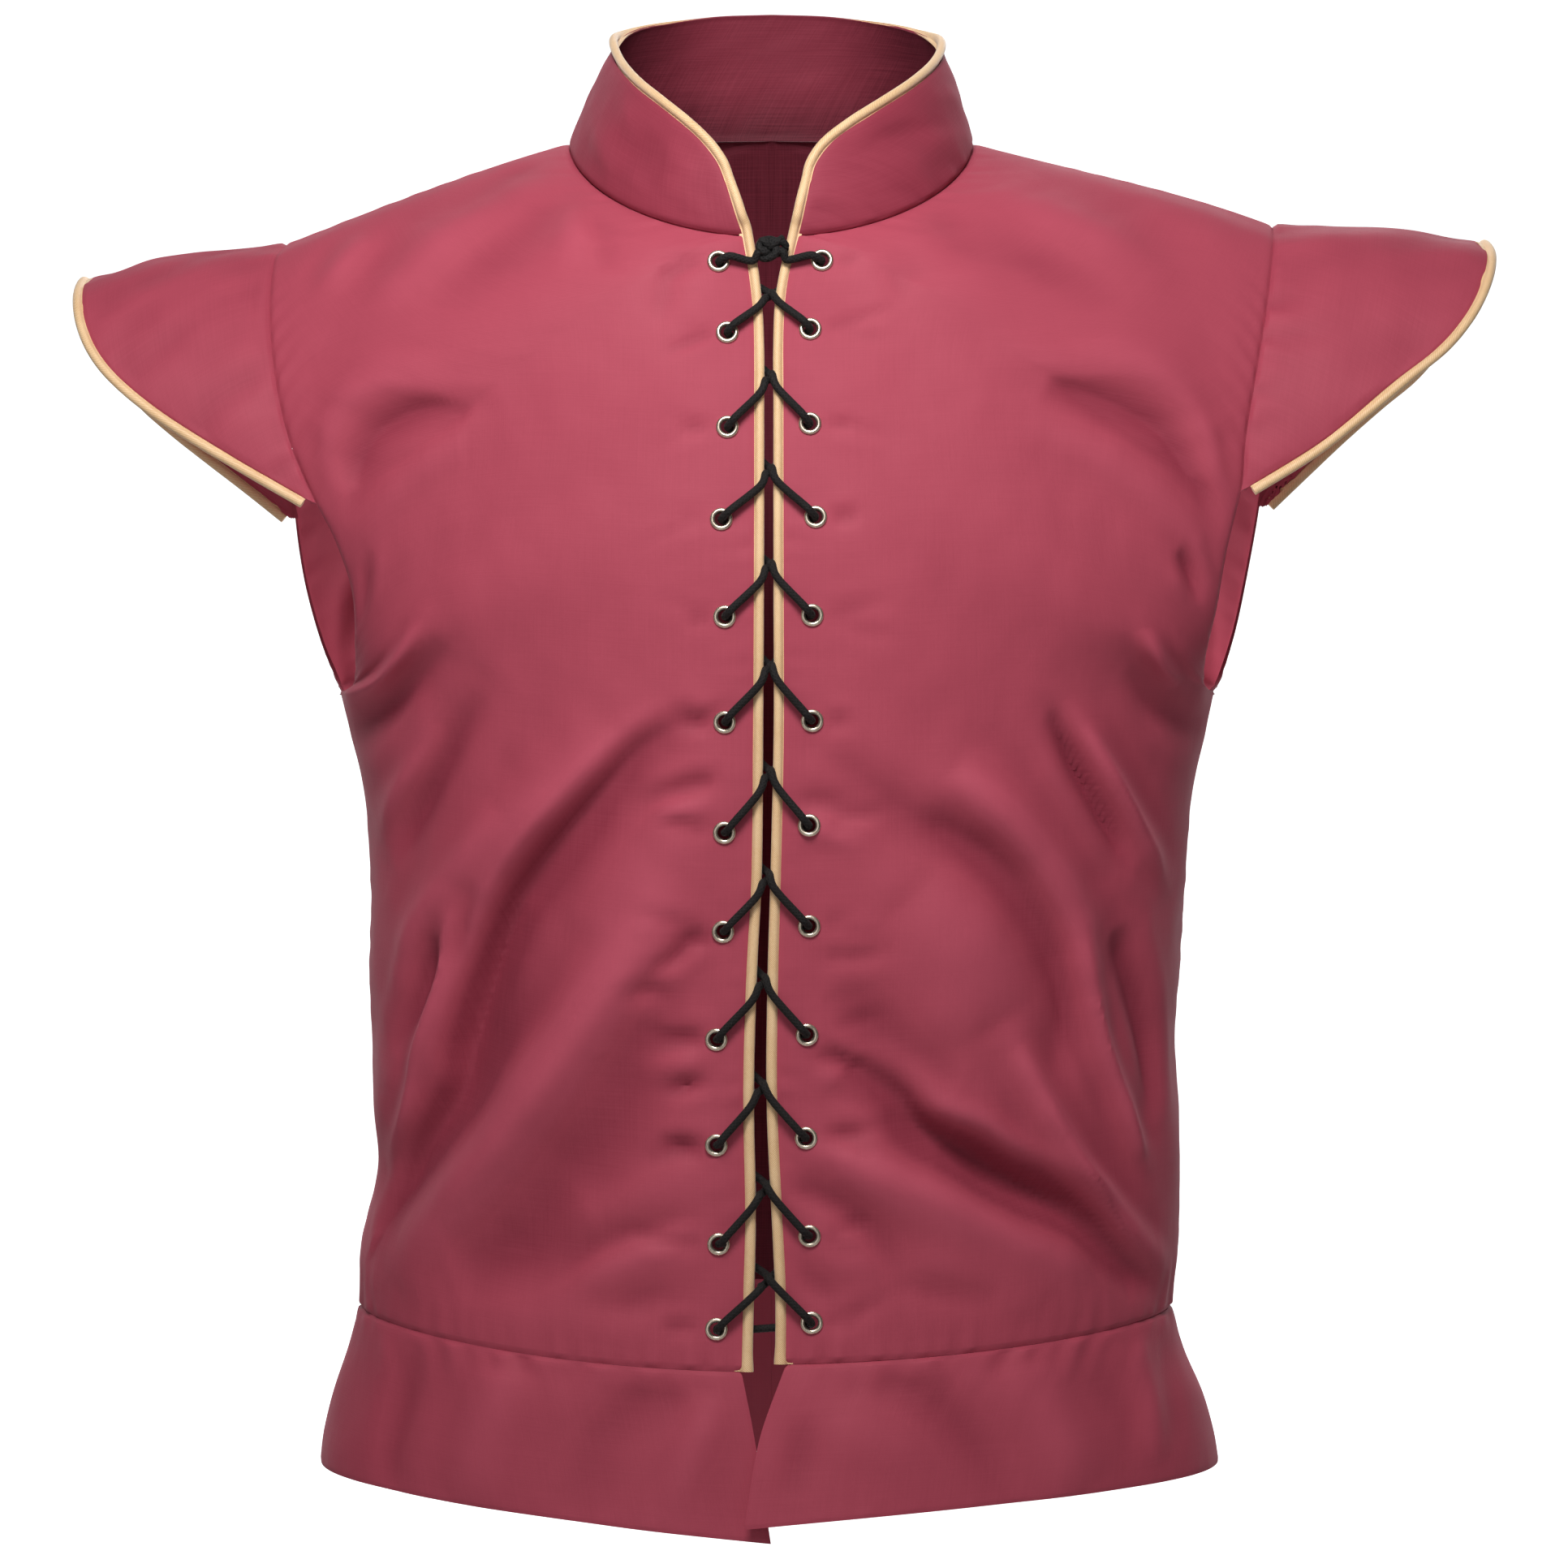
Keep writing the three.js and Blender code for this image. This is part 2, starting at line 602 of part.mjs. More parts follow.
/** Half of the back, from its middle line to one side. */
function backHalf(side) {
  const surface = surfaceBetween(
    side,
    (up) => backInnerEdge(side, up),
    (up) => outerEdge(side, ARMHOLE_BACK, up),
    BACK_HANDLES,
  );
  const outer = outerGrid(surface, side, -1, PANEL_ROWS, BACK_COLUMNS, FOLDS_BACK);
  openSeams(outer, -1);
  const seams = panelSeamDirection(side, BACK_COLUMNS, BACK_NECK_ROW, backNeckAngle);
  const direction = (row, column, normal) => {
    if (row === 0 && column === 0) return new THREE.Vector3(0, 1, 0);
    if (row < BACK_NECK_ROW && column === 0) return normal.clone().setX(0).normalize();
    return seams(row, column, normal);
  };
  return { side, outer, inner: innerGrid(outer, -side.sign, direction) };
}

const fronts = [frontPanel(RIGHT, FOLDS_RIGHT), frontPanel(LEFT, FOLDS_LEFT)];
const backs = [backHalf(RIGHT), backHalf(LEFT)];

/** Panel point and normal where a line from the front meets the cloth near its centre edge. */
function spotOnFront(front, x, z) {
  const target = new THREE.Vector3(x, 0, z);
  for (let row = 0; row < PANEL_ROWS; row += 1) {
    for (let column = 0; column < EYELET_SEARCH_COLUMNS; column += 1) {
      const [low, lowNext] = front.outer[row].slice(column, column + 2);
      const [high, highNext] = front.outer[row + 1].slice(column, column + 2);
      for (const corners of [[low, lowNext, highNext], [low, highNext, high]]) {
        const flat = corners.map((corner) => corner.clone().setY(0));
        if (THREE.Triangle.containsPoint(target, ...flat)) {
          const weights = THREE.Triangle.getBarycoord(target, ...flat, new THREE.Vector3());
          const normal = new THREE.Triangle(...corners).getNormal(new THREE.Vector3());
          const point = target.clone();
          point.y = corners[0].y * weights.x + corners[1].y * weights.y + corners[2].y * weights.z;
          return { point, normal: normal.multiplyScalar(front.side.sign) };
        }
      }
    }
  }
  throw new Error(`no cloth in front of ${x}, ${z}`);
}

/** Eyelet places on one front, top row first. */
function eyeletSpots(front) {
  return EYELET_ROWS.map((row) => {
    const place = sidePoint(row, front.side);
    return spotOnFront(front, place.x, place.z);
  });
}

const eyelets = { right: eyeletSpots(fronts[0]), left: eyeletSpots(fronts[1]) };

const wasm = await Module();
wasm.setup();

/** The manifold-3d solid of a geometry. */
function solidFrom(geometry) {
  const bare = geometry.clone();
  bare.deleteAttribute('normal');
  bare.deleteAttribute('uv');
  const merged = mergeVertices(bare, 1e-4);
  return new wasm.Manifold(new wasm.Mesh({
    numProp: 3,
    vertProperties: merged.attributes.position.array,
    triVerts: Uint32Array.from(merged.index.array),
  }));
}

/** The geometry of a manifold-3d solid. */
function geometryFrom(solid) {
  const mesh = solid.getMesh();
  const geometry = new THREE.BufferGeometry();
  geometry.setAttribute('position', new THREE.BufferAttribute(mesh.vertProperties, 3));
  geometry.setIndex(new THREE.BufferAttribute(mesh.triVerts, 1));
  geometry.computeVertexNormals();
  return geometry;
}

/** Turns a shape made round +Y so that +Y points out of the cloth, its +X kept level. */
function turnOut(normal) {
  const level = new THREE.Vector3(-normal.y, normal.x, 0).normalize();
  const upright = level.clone().cross(normal);
  const basis = new THREE.Matrix4().makeBasis(level, normal, upright);
  return new THREE.Quaternion().setFromRotationMatrix(basis);
}

/** A front with its row of eyelet holes. */
function piercedFront(front, spots) {
  const corners = wallTriangles(front.outer, front.inner, front.side.sign);
  let cloth = solidFrom(geometryFromCorners(corners));
  for (const spot of spots) {
    const drill = new THREE.CylinderGeometry(
      EYELET_PANEL_HOLE,
      EYELET_PANEL_HOLE,
      WALL * 6,
      EYELET_SIDES,
    );
    drill.rotateY(EYELET_TURN).applyQuaternion(turnOut(spot.normal));
    drill.translate(spot.point.x, spot.point.y, spot.point.z);
    cloth = cloth.subtract(solidFrom(drill));
  }
  return geometryFrom(cloth);
}

function addFronts() {
  for (const front of fronts) {
    const { name } = front.side;
    addMesh(`front_${name}`, piercedFront(front, eyelets[name]), CLOTH);
  }
}

function addBack() {
  const corners = backs.flatMap((half) => wallTriangles(
    half.outer,
    half.inner,
    -half.side.sign,
    (row) => row < BACK_NECK_ROW,
  ));
  addMesh('back', geometryFromCorners(corners), CLOTH);
}

/** One eyelet: a barrel with a rolled rim outside. */
function addEyelets() {
  const profile = [
    new THREE.Vector2(EYELET_HOLE, -EYELET_BACK_DEPTH),
    new THREE.Vector2(EYELET_BARREL, -EYELET_BACK_DEPTH),
    new THREE.Vector2(EYELET_BARREL, EYELET_LIFT),
    new THREE.Vector2(EYELET_FLANGE, EYELET_LIFT),
    new THREE.Vector2(EYELET_HOLE + EYELET_ROLL, EYELET_RIM_HEIGHT),
    new THREE.Vector2(EYELET_HOLE, EYELET_THROAT),
    new THREE.Vector2(EYELET_HOLE, -EYELET_BACK_DEPTH),
  ];
  for (const [name, spots] of Object.entries(eyelets)) {
    spots.forEach((spot, i) => {
      const number = String(i + 1).padStart(2, '0');
      const ring = new THREE.LatheGeometry(profile, EYELET_SIDES).rotateY(EYELET_TURN);
      const mesh = addMesh(`eyelet_${name}_${number}`, ring, NICKEL);
      mesh.quaternion.copy(turnOut(spot.normal));
      mesh.position.copy(spot.point);
    });
  }
}

/** Columns of the collar on one side: centre front to centre back. */
function collarAngles() {
  const angles = [];
  for (let row = FRONT_NECK_ROW; row <= PANEL_ROWS; row += 1) {
    angles.push(frontNeckAngle(rowShare(row)));
  }
  for (let row = PANEL_ROWS - 1; row >= BACK_NECK_ROW; row -= 1) {
    angles.push(backNeckAngle(rowShare(row)));
  }
  return angles;
}

function collarColumn(side, angle, share) {
  const base = neckPoint(side, angle);
  base.z += COLLAR_LIFT;
  const top = sidePoint(between(COLLAR_TOP, share), side);
  const bulge = neckDirection(side, angle).setZ(0).multiplyScalar(COLLAR_BULGE);
  const points = [];
  for (let row = 0; row <= COLLAR_ROWS; row += 1) {
    const up = row / COLLAR_ROWS;
    const point = base.clone().lerp(top, up);
    points.push(point.addScaledVector(bulge, 4 * up * (1 - up)));
  }
  return points;
}

/** The collar's columns in order, right front round the back to left front. */
function collarGrids() {
  const angles = collarAngles();
  const last = angles.length - 1;
  const rightColumns = angles.map((angle, i) => ({ side: RIGHT, angle, share: i / last }));
  const leftColumns = angles.map((angle, i) => ({ side: LEFT, angle, share: i / last }));
  const columns = [...rightColumns, ...leftColumns.slice(0, last).reverse()];
  const strips = columns.map(({ side, angle, share }) => collarColumn(side, angle, share));
  const outer = [];
  for (let row = 0; row <= COLLAR_ROWS; row += 1) outer.push(strips.map((strip) => strip[row]));
  const direction = (row, column) => {
    if (row > 0) return null;
    return neckDirection(columns[column].side, columns[column].angle);
  };
  return { columns, outer, inner: innerGrid(outer, -1, direction) };
}

const collar = collarGrids();

function addCollar() {
  const corners = wallTriangles(collar.outer, collar.inner, -1);
  addMesh('collar', geometryFromCorners(corners), CLOTH);
}

/** Moves a peplum piece's sewn edges half a seam gap back from the seam lines. */
function openPeplumSeams(grid, facing) {
  const half = SEAM_GAP / 2;
  const last = grid[0].length - 1;
  for (let row = 0; row <= PEPLUM_ROWS; row += 1) {
    shift(grid, row, last, new THREE.Vector3(0, -facing * half, 0));
  }
  for (let column = 0; column <= last; column += 1) {
    shift(grid, 0, column, new THREE.Vector3(0, 0, -half));
  }
}

/** Directions of a peplum piece's seam faces. */
function peplumSeamDirection(side, columns) {
  return (row, column, normal) => {
    if (column === columns) return new THREE.Vector3(side.sign, 0, 0);
    if (row === 0) return normal.clone().setZ(0).normalize();
    return null;
  };
}

/** Peplum edges share the waist seam with the body panels above. */
function addPeplumFronts() {
  const folds = { right: FOLDS_PEPLUM_RIGHT, left: FOLDS_PEPLUM_LEFT };
  for (const { side } of fronts) {
    const surface = surfaceBetween(
      side,
      (down) => sidePoint(between(PEPLUM_FRONT_EDGE, down), side),
      (down) => sidePoint(between(PEPLUM_SIDE_EDGE, down), side),
      PEPLUM_FRONT_HANDLES,
    );
    const outer = outerGrid(surface, side, -1, PEPLUM_ROWS, FRONT_COLUMNS, folds[side.name]);
    openPeplumSeams(outer, 1);
    const inner = innerGrid(outer, -side.sign, peplumSeamDirection(side, FRONT_COLUMNS));
    const corners = wallTriangles(outer, inner, -side.sign);
    addMesh(`peplum_front_${side.name}`, geometryFromCorners(corners), CLOTH);
  }
}

function addPeplumBack() {
  const corners = backs.flatMap(({ side }) => {
    const surface = surfaceBetween(
      side,
      (down) => sidePoint(between(PEPLUM_BACK_EDGE, down), side),
      (down) => sidePoint(between(PEPLUM_SIDE_EDGE, down), side),
      PEPLUM_BACK_HANDLES,
    );
    const outer = outerGrid(surface, side, 1, PEPLUM_ROWS, BACK_COLUMNS, FOLDS_PEPLUM_BACK);
    openPeplumSeams(outer, -1);
    const seams = peplumSeamDirection(side, BACK_COLUMNS);
    const inner = innerGrid(outer, side.sign, (row, column, normal) => {
      if (column === 0) return normal.clone().setX(0).setZ(row === 0 ? 0 : normal.z).normalize();
      return seams(row, column, normal);
    });
    return wallTriangles(outer, inner, side.sign, () => true);
  });
  addMesh('peplum_back', geometryFromCorners(corners), CLOTH);
}

/** Root of a wing: the armhole edge of front and back, just clear of it. */
function wingRoots(front, back) {
  const offset = new THREE.Vector3(front.side.sign * WING_SEAM_GAP, 0, 0);
  const fromPanel = (panel, row) => ({
    outer: panel.outer[row].at(-1).clone().add(offset),
    inner: panel.inner[row].at(-1).clone().add(offset),
  });
  const roots = [];
  for (let row = WING_ROW; row < PANEL_ROWS; row += 1) roots.push(fromPanel(front, row));
  const ahead = fromPanel(front, PANEL_ROWS);
  const behind = fromPanel(back, PANEL_ROWS);
  roots.push({
    outer: ahead.outer.lerp(behind.outer, 0.5),
    inner: ahead.inner.lerp(behind.inner, 0.5),
  });
  for (let row = PANEL_ROWS - 1; row >= WING_ROW; row -= 1) roots.push(fromPanel(back, row));
  return roots;
}

/** Outer edge of a wing beside each root: front lower end, over the top, back lower end. */
function wingEdge(side, share) {
  const backHalfShare = Math.max(share - 0.5, 0) * 2;
  const rise = 1 - Math.abs(2 * share - 1);
  const row = between(WING_EDGE, rise);
  const edge = sidePoint(row, side);
  if (share > 0.5) edge.x = side === RIGHT ? row.xBackRight : row.xBackLeft;
  if (share < 0.5) edge.y *= -1;
  edge.z -= WING_BACK_SAG * Math.sin(Math.PI * backHalfShare);
  return edge;
}

function wingGrids(front, back) {
  const { side } = front;
  const roots = wingRoots(front, back);
  const strips = roots.map((root, i) => {
    const share = i / (roots.length - 1);
    const edge = wingEdge(side, share);
    const fromEnd = Math.min(share, 1 - share) / WING_END_SHARE;
    edge.y = THREE.MathUtils.lerp(root.outer.y, edge.y, Math.min(fromEnd, 1));
    const normal = root.outer.clone().sub(root.inner).normalize();
    const points = [];
    for (let column = 0; column <= WING_COLUMNS; column += 1) {
      const out = column / WING_COLUMNS;
      const bulge = WING_BULGE * 4 * out * (1 - out) * Math.sin(Math.PI * share);
      points.push(root.outer.clone().lerp(edge, out).addScaledVector(normal, bulge));
    }
    return points;
  });
  const inner = innerGrid(strips, side.sign, () => null);
  inner.forEach((strip, i) => strip[0].copy(roots[i].inner));
  return { side, outer: strips, inner };
}

/** A round cord whose steps follow its points rather than its length. */
class Cord extends THREE.CatmullRomCurve3 {
  getPointAt(share, target) {
    return this.getPoint(share, target);
  }

  getTangentAt(share, target) {
    return this.getTangent(share, target);
  }
}

function circleShape(radius, sides) {
  const points = [];
  for (let i = 0; i < sides; i += 1) {
    const angle = (2 * Math.PI * i) / sides;
    points.push(new THREE.Vector2(radius * Math.cos(angle), radius * Math.sin(angle)));
  }
  return new THREE.Shape(points);
}

function cordGeometry(points, radius, sides) {
  return new THREE.ExtrudeGeometry(circleShape(radius, sides), {
    extrudePath: new Cord(points, false, 'centripetal'),
    steps: points.length - 1,
  });
}

function middle(a, b) {
  return a.clone().lerp(b, 0.5);
}

/** Middle direction of a line of points at one of them, two units long where it is straight. */
function directionAt(points, i) {
  const along = new THREE.Vector3();
  if (i > 0) along.add(points[i].clone().sub(points[i - 1]).normalize());
  if (i < points.length - 1) along.add(points[i + 1].clone().sub(points[i]).normalize());
  return i > 0 && i < points.length - 1 ? along : along.multiplyScalar(2);
}

/** Route of a cord sewn along a cut edge, turned to the outside where its share is large. */
function cordBeside(edge, sign) {
  const line = edge.map(({ outer }) => outer);
  return edge.map(({ outer, inner, share = 0 }, i) => {
    const out = outer.clone().sub(inner).normalize();
    const along = directionAt(line, i);
    const reach = PIPING_OFFSET / (along.length() / 2);
    const away = along.cross(out).normalize().multiplyScalar(sign);
    const hidden = THREE.MathUtils.smoothstep(share, PIPING_HIDES_FROM, PIPING_HIDDEN_BY);
    const turn = (hidden * Math.PI) / 2;
    const swing = reach * (1 + PIPING_SWING * Math.sin(2 * turn));
    const dropped = THREE.MathUtils.smoothstep(hidden, PIPING_DROPS_FROM, 1);
    const drop = PIPING_HIDDEN_DROP * dropped;
    const overWall = (WALL / 2) * Math.sin(turn);
    return middle(outer, inner)
      .addScaledVector(away, swing * Math.cos(turn) - drop)
      .addScaledVector(out, swing * Math.sin(turn) + overWall);
  });
}

function addWings() {
  fronts.forEach((front, i) => {
    const wing = wingGrids(front, backs[i]);
    const corners = wallTriangles(wing.outer, wing.inner, wing.side.sign);
    addMesh(`wing_${wing.side.name}`, geometryFromCorners(corners), CLOTH);
    const edge = wing.outer.map((strip, k) => ({
      outer: strip.at(-1),
      inner: wing.inner[k].at(-1),
    }));
    const route = cordBeside(edge, wing.side.sign);
    const cord = cordGeometry(route, PIPING_RADIUS, PIPING_SIDES);
    addMesh(`piping_wing_${wing.side.name}`, cord, GOLD_CORD);
  });
}

/** Cut edge of a front beside the opening, waist to just under the neck seam. */
function frontOpening(front) {
  return front.outer.slice(0, FRONT_NECK_ROW).map((points, row) => ({
    outer: points[0],
    inner: front.inner[row][0],
  }));
}

/** Cut edge of the collar: up one front end, round the top and down the other end. */
function collarOpening() {
  const last = collar.columns.length - 1;
  const spot = (row, column) => ({
    outer: collar.outer[row][column],
    inner: collar.inner[row][column],
    share: row === COLLAR_ROWS ? collar.columns[column].share : 0,
  });
  const edge = [];
  for (let row = 0; row < COLLAR_ROWS; row += 1) edge.push(spot(row, 0));
  for (let column = 0; column <= last; column += 1) edge.push(spot(COLLAR_ROWS, column));
  for (let row = COLLAR_ROWS - 1; row >= 0; row -= 1) edge.push(spot(row, last));
  return edge;
}

function addEdgePiping() {
  const edge = [
    ...frontOpening(fronts[0]),
    ...collarOpening(),
    ...frontOpening(fronts[1]).reverse(),
  ];
  addMesh('piping_edge', cordGeometry(cordBeside(edge, 1), PIPING_RADIUS, PIPING_SIDES), GOLD_CORD);
}

/** Piping centre beside one front's edge at a height. */
function pipingAt(front, z) {
  const route = cordBeside(frontOpening(front), -front.side.sign);
  let k = 0;
  while (k < route.length - 2 && route[k + 1].z < z) k += 1;
  const share = (z - route[k].z) / (route[k + 1].z - route[k].z);
  return route[k].clone().lerp(route[k + 1], share);
}

/** Point at a height over the cloth at an eyelet, moved sideways towards a target. */
function besideEyelet(spot, height, reach, target) {
  const place = spot.point.clone().addScaledVector(spot.normal, height);
  const away = target.clone().sub(place);
  away.addScaledVector(spot.normal, -away.dot(spot.normal)).normalize();
  return place.addScaledVector(away, reach);
}

/** One end of the lace: from the bar inside the bottom row up to the knot. */
function laceStrand(firstSide) {
  const points = [];
  let side = firstSide;
  for (let row = EYELET_ROWS.length - 1; row >= 0; row -= 1) {
    const spot = eyelets[side.name][row];
    const other = side === RIGHT ? LEFT : RIGHT;
    const from = new THREE.Vector3(NECK_MIDDLE_X, spot.point.y, spot.point.z - LACE_BAR_DROP);
    points.push(besideEyelet(spot, -LACE_INSIDE_DEPTH, LACE_INSIDE_REACH, from));
    points.push(besideEyelet(spot, LACE_IN_HOLE, 0, from));
    points.push(besideEyelet(spot, LACE_OUT_OF_HOLE, 0, from));
    const front = side === RIGHT ? fronts[0] : fronts[1];
    if (row === 0) {
      const near = new THREE.Vector3(KNOT_CENTRE.x, spot.point.y, KNOT_CENTRE.z);
      points.push(besideEyelet(spot, LACE_RIM_HEIGHT, LACE_RIM_REACH, near));
      const over = pipingAt(front, spot.point.z);
      over.y -= LACE_OVER_PIPING;
      points.push(over);
      const end = over.clone();
      end.x = KNOT_CENTRE.x + side.sign * LACE_END.x;
      end.y -= LACE_END.y;
      end.z = KNOT_CENTRE.z - LACE_END.z;
      points.push(end);
    } else {
      const above = eyelets[other.name][row - 1];
      const apexZ = (spot.point.z + eyelets[side.name][row - 1].point.z) / 2;
      const diveZ = apexZ + side.sign * LACE_CROSSING_STEP;
      const rightCord = pipingAt(fronts[0], diveZ);
      const leftCord = pipingAt(fronts[1], diveZ);
      const gap = middle(rightCord, leftCord);
      const pipingZ = THREE.MathUtils.lerp(spot.point.z, diveZ, LACE_PIPING_SHARE);
      const over = pipingAt(front, pipingZ);
      points.push(besideEyelet(spot, LACE_RIM_HEIGHT, LACE_RIM_REACH, over));
      over.y -= LACE_OVER_PIPING;
      points.push(over);
      points.push(new THREE.Vector3(gap.x, gap.y - LACE_GAP_FRONT, diveZ));
      points.push(new THREE.Vector3(gap.x, gap.y + LACE_GAP_BACK, diveZ + LACE_GAP_RISE));
      const behind = new THREE.Vector3(gap.x, gap.y + LACE_BEHIND_DEPTH, diveZ + LACE_BEHIND_RISE);
      const goal = new THREE.Vector3(above.point.x, behind.y, above.point.z);
      points.push(behind.lerp(goal, LACE_BEHIND_SHARE));
    }
    side = other;
  }
  return points;
}

function addLace() {
  const rightEnd = laceStrand(RIGHT);
  const leftEnd = laceStrand(LEFT);
  const route = [...rightEnd.reverse(), ...leftEnd];
  addMesh('lace', cordGeometry(route, LACE_RADIUS, LACE_SIDES), BLACK_CORD);
}

function addKnot() {
  const { round, through } = KNOT_TURNS;
  const knot = new THREE.TorusKnotGeometry(
    KNOT_RADIUS,
    LACE_RADIUS,
    KNOT_STEPS,
    LACE_SIDES,
    round,
    through,
  );
  knot.rotateX(Math.PI / 2);
  const mesh = addMesh('lace_knot', knot, BLACK_CORD);
  mesh.scale.set(KNOT_SCALE.x, KNOT_SCALE.y, KNOT_SCALE.z);
  const level = pipingAt(fronts[0], KNOT_CENTRE.z);
  mesh.position.set(KNOT_CENTRE.x, level.y - KNOT_FORWARD, KNOT_CENTRE.z);
}

addFronts();
addBack();
addCollar();
addWings();
addPeplumFronts();
addPeplumBack();
addEdgePiping();
addEyelets();
addLace();
addKnot();

export default group;
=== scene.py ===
import logging
import math
from dataclasses import dataclass, field
from enum import Enum
from typing import Callable, Sequence

import bpy
import numpy as np
from mathutils import Matrix, Vector
from mathutils.bvhtree import BVHTree


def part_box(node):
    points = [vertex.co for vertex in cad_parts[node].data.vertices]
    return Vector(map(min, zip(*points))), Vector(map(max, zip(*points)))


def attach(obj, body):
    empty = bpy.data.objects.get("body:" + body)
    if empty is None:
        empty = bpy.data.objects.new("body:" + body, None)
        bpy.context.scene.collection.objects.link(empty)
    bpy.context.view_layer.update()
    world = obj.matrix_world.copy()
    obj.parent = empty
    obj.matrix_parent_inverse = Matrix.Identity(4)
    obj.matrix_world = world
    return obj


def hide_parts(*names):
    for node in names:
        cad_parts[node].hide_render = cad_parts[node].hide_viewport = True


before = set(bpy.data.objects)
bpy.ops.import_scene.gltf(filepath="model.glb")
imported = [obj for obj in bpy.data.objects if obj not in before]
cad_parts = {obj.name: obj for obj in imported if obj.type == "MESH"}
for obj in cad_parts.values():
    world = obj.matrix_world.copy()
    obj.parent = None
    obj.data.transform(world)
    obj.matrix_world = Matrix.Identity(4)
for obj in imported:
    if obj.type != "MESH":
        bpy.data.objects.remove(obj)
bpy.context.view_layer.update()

# A sleeveless doublet of smooth raspberry cloth, laced up the front with black cord.
# Sizes are millimetres until a mesh is made. +Z is up, -Y the front, +X the wearer's left.

LOG = logging.getLogger("doublet")
MM = 0.001
WELD = 2e-5

PANEL_ROWS = 26
FRONT_NECK_ROW = 19
UNDERARM_SHARE = 12 / PANEL_ROWS
FRONT_NECK_SHARE = FRONT_NECK_ROW / PANEL_ROWS
BACK_NECK_SHARE = 21 / PANEL_ROWS
WING_SHARE = 19 / PANEL_ROWS
EYELET_ROWS = 12
CAD_WALL = 2.2
CLOTH_WALL = 1.5
COLLAR_BULGE = 2.0
SPLINE_STEPS = 8
ROUNDING = 1e-6


class Side(Enum):
    """Wearer's side of the garment, with the sign of its X."""

    RIGHT = -1.0
    LEFT = 1.0

    @property
    def word(self) -> str:
        """Lower-case name used in pieces and columns."""
        return self.name.lower()

    @property
    def other(self) -> "Side":
        """The opposite side."""
        return Side.LEFT if self is Side.RIGHT else Side.RIGHT


@dataclass(frozen=True)
class Course:
    """Named values that change smoothly along a share from 0 to 1."""

    columns: tuple[str, ...]
    rows: tuple[tuple[float, ...], ...]

    def at(self, share: np.ndarray | float) -> dict[str, np.ndarray]:
        """Reads every column at some shares.

        Args:
            share: Shares of the way along.

        Returns:
            An array for each column, as long as share.
        """
        wanted = np.atleast_1d(np.asarray(share, float))
        table = np.array(self.rows, float)
        knots = table[:, 0]
        last = len(knots) - 1
        k = np.searchsorted(knots[1:last], wanted, side="left")
        here, there = table[k], table[k + 1]
        before, after = table[np.maximum(k - 1, 0)], table[np.minimum(k + 2, last)]
        span = there[:, :1] - here[:, :1]
        t = np.clip((wanted[:, None] - here[:, :1]) / span, 0, 1)
        leave = (there - before) / (there[:, :1] - before[:, :1]) * span
        arrive = (after - here) / (after[:, :1] - here[:, :1]) * span
        bend = t * t * (3 - 2 * t)
        value = here * (1 - bend) + there * bend
        value += leave * t * (1 - t) ** 2 - arrive * t * t * (1 - t)
        return {name: value[:, i] for i, name in enumerate(self.columns)}

    def points(self, side: Side, share: np.ndarray | float) -> np.ndarray:
        """Reads one side's points.

        Args:
            side: Whose columns to read.
            share: Shares of the way along.

        Returns:
            Points, one row each.
        """
        value = self.at(share)
        empty = np.zeros_like(value["share"])
        x = value.get(f"x_{side.word}", empty + NECK.middle_x)
        y = value.get(f"y_{side.word}", value.get("y", empty))
        z = value.get(f"z_{side.word}", value.get("z", empty))
        return np.stack([x, y, z], axis=-1)

    def extended(self, row: tuple[float, ...]) -> "Course":
        """The same course with one more row at its end."""
        return Course(self.columns, (*self.rows, row))


@dataclass(frozen=True)
class NeckRing:
    """The closed seam where the collar meets the body."""

    middle_x: float = 2
    half_width: float = 100
    front_depth: float = 104
    back_depth: float = 72
    side_z: float = 3
    front_drop: float = 56
    back_rise: float = 11
    power: float = 1.15
    opening: float = math.radians(7.7)

    def points(self, side: Side, angle: np.ndarray) -> np.ndarray:
        """Points of the ring.

        Args:
            side: Half of the ring.
            angle: 0 at the front, a quarter turn at the shoulder, half a turn at the back.

        Returns:
            Points, one row each.
        """
        forward = np.cos(angle)
        share = np.abs(forward)
        x = self.middle_x + side.value * self.half_width * np.sin(angle)
        ahead = forward > 0
        y = np.where(ahead, -self.front_depth * share, self.back_depth * share)
        drop = self.side_z - self.front_drop * share**self.power
        z = np.where(ahead, drop, self.side_z + self.back_rise * share)
        return np.stack([x, y, z], axis=-1)

    def directions(self, side: Side, angle: np.ndarray) -> np.ndarray:
        """Ways that the seam's edge faces, shared by body and collar."""
        gain = np.sin(angle) ** 2
        rise = np.where(np.cos(angle) > 0, 0.18 + 0.55 * gain, 0.45 + 0.28 * gain)
        way = np.stack([side.value * np.sin(angle), -np.cos(angle), rise], axis=-1)
        return unit(way)


def unit(ways: np.ndarray) -> np.ndarray:
    """Directions of length one."""
    return ways / np.maximum(np.linalg.norm(ways, axis=-1, keepdims=True), 1e-9)


def smooth_step(value: np.ndarray | float, low: float, high: float) -> np.ndarray:
    """Rises smoothly from 0 at low to 1 at high."""
    t = np.clip((np.asarray(value, float) - low) / (high - low), 0, 1)
    return t * t * (3 - 2 * t)


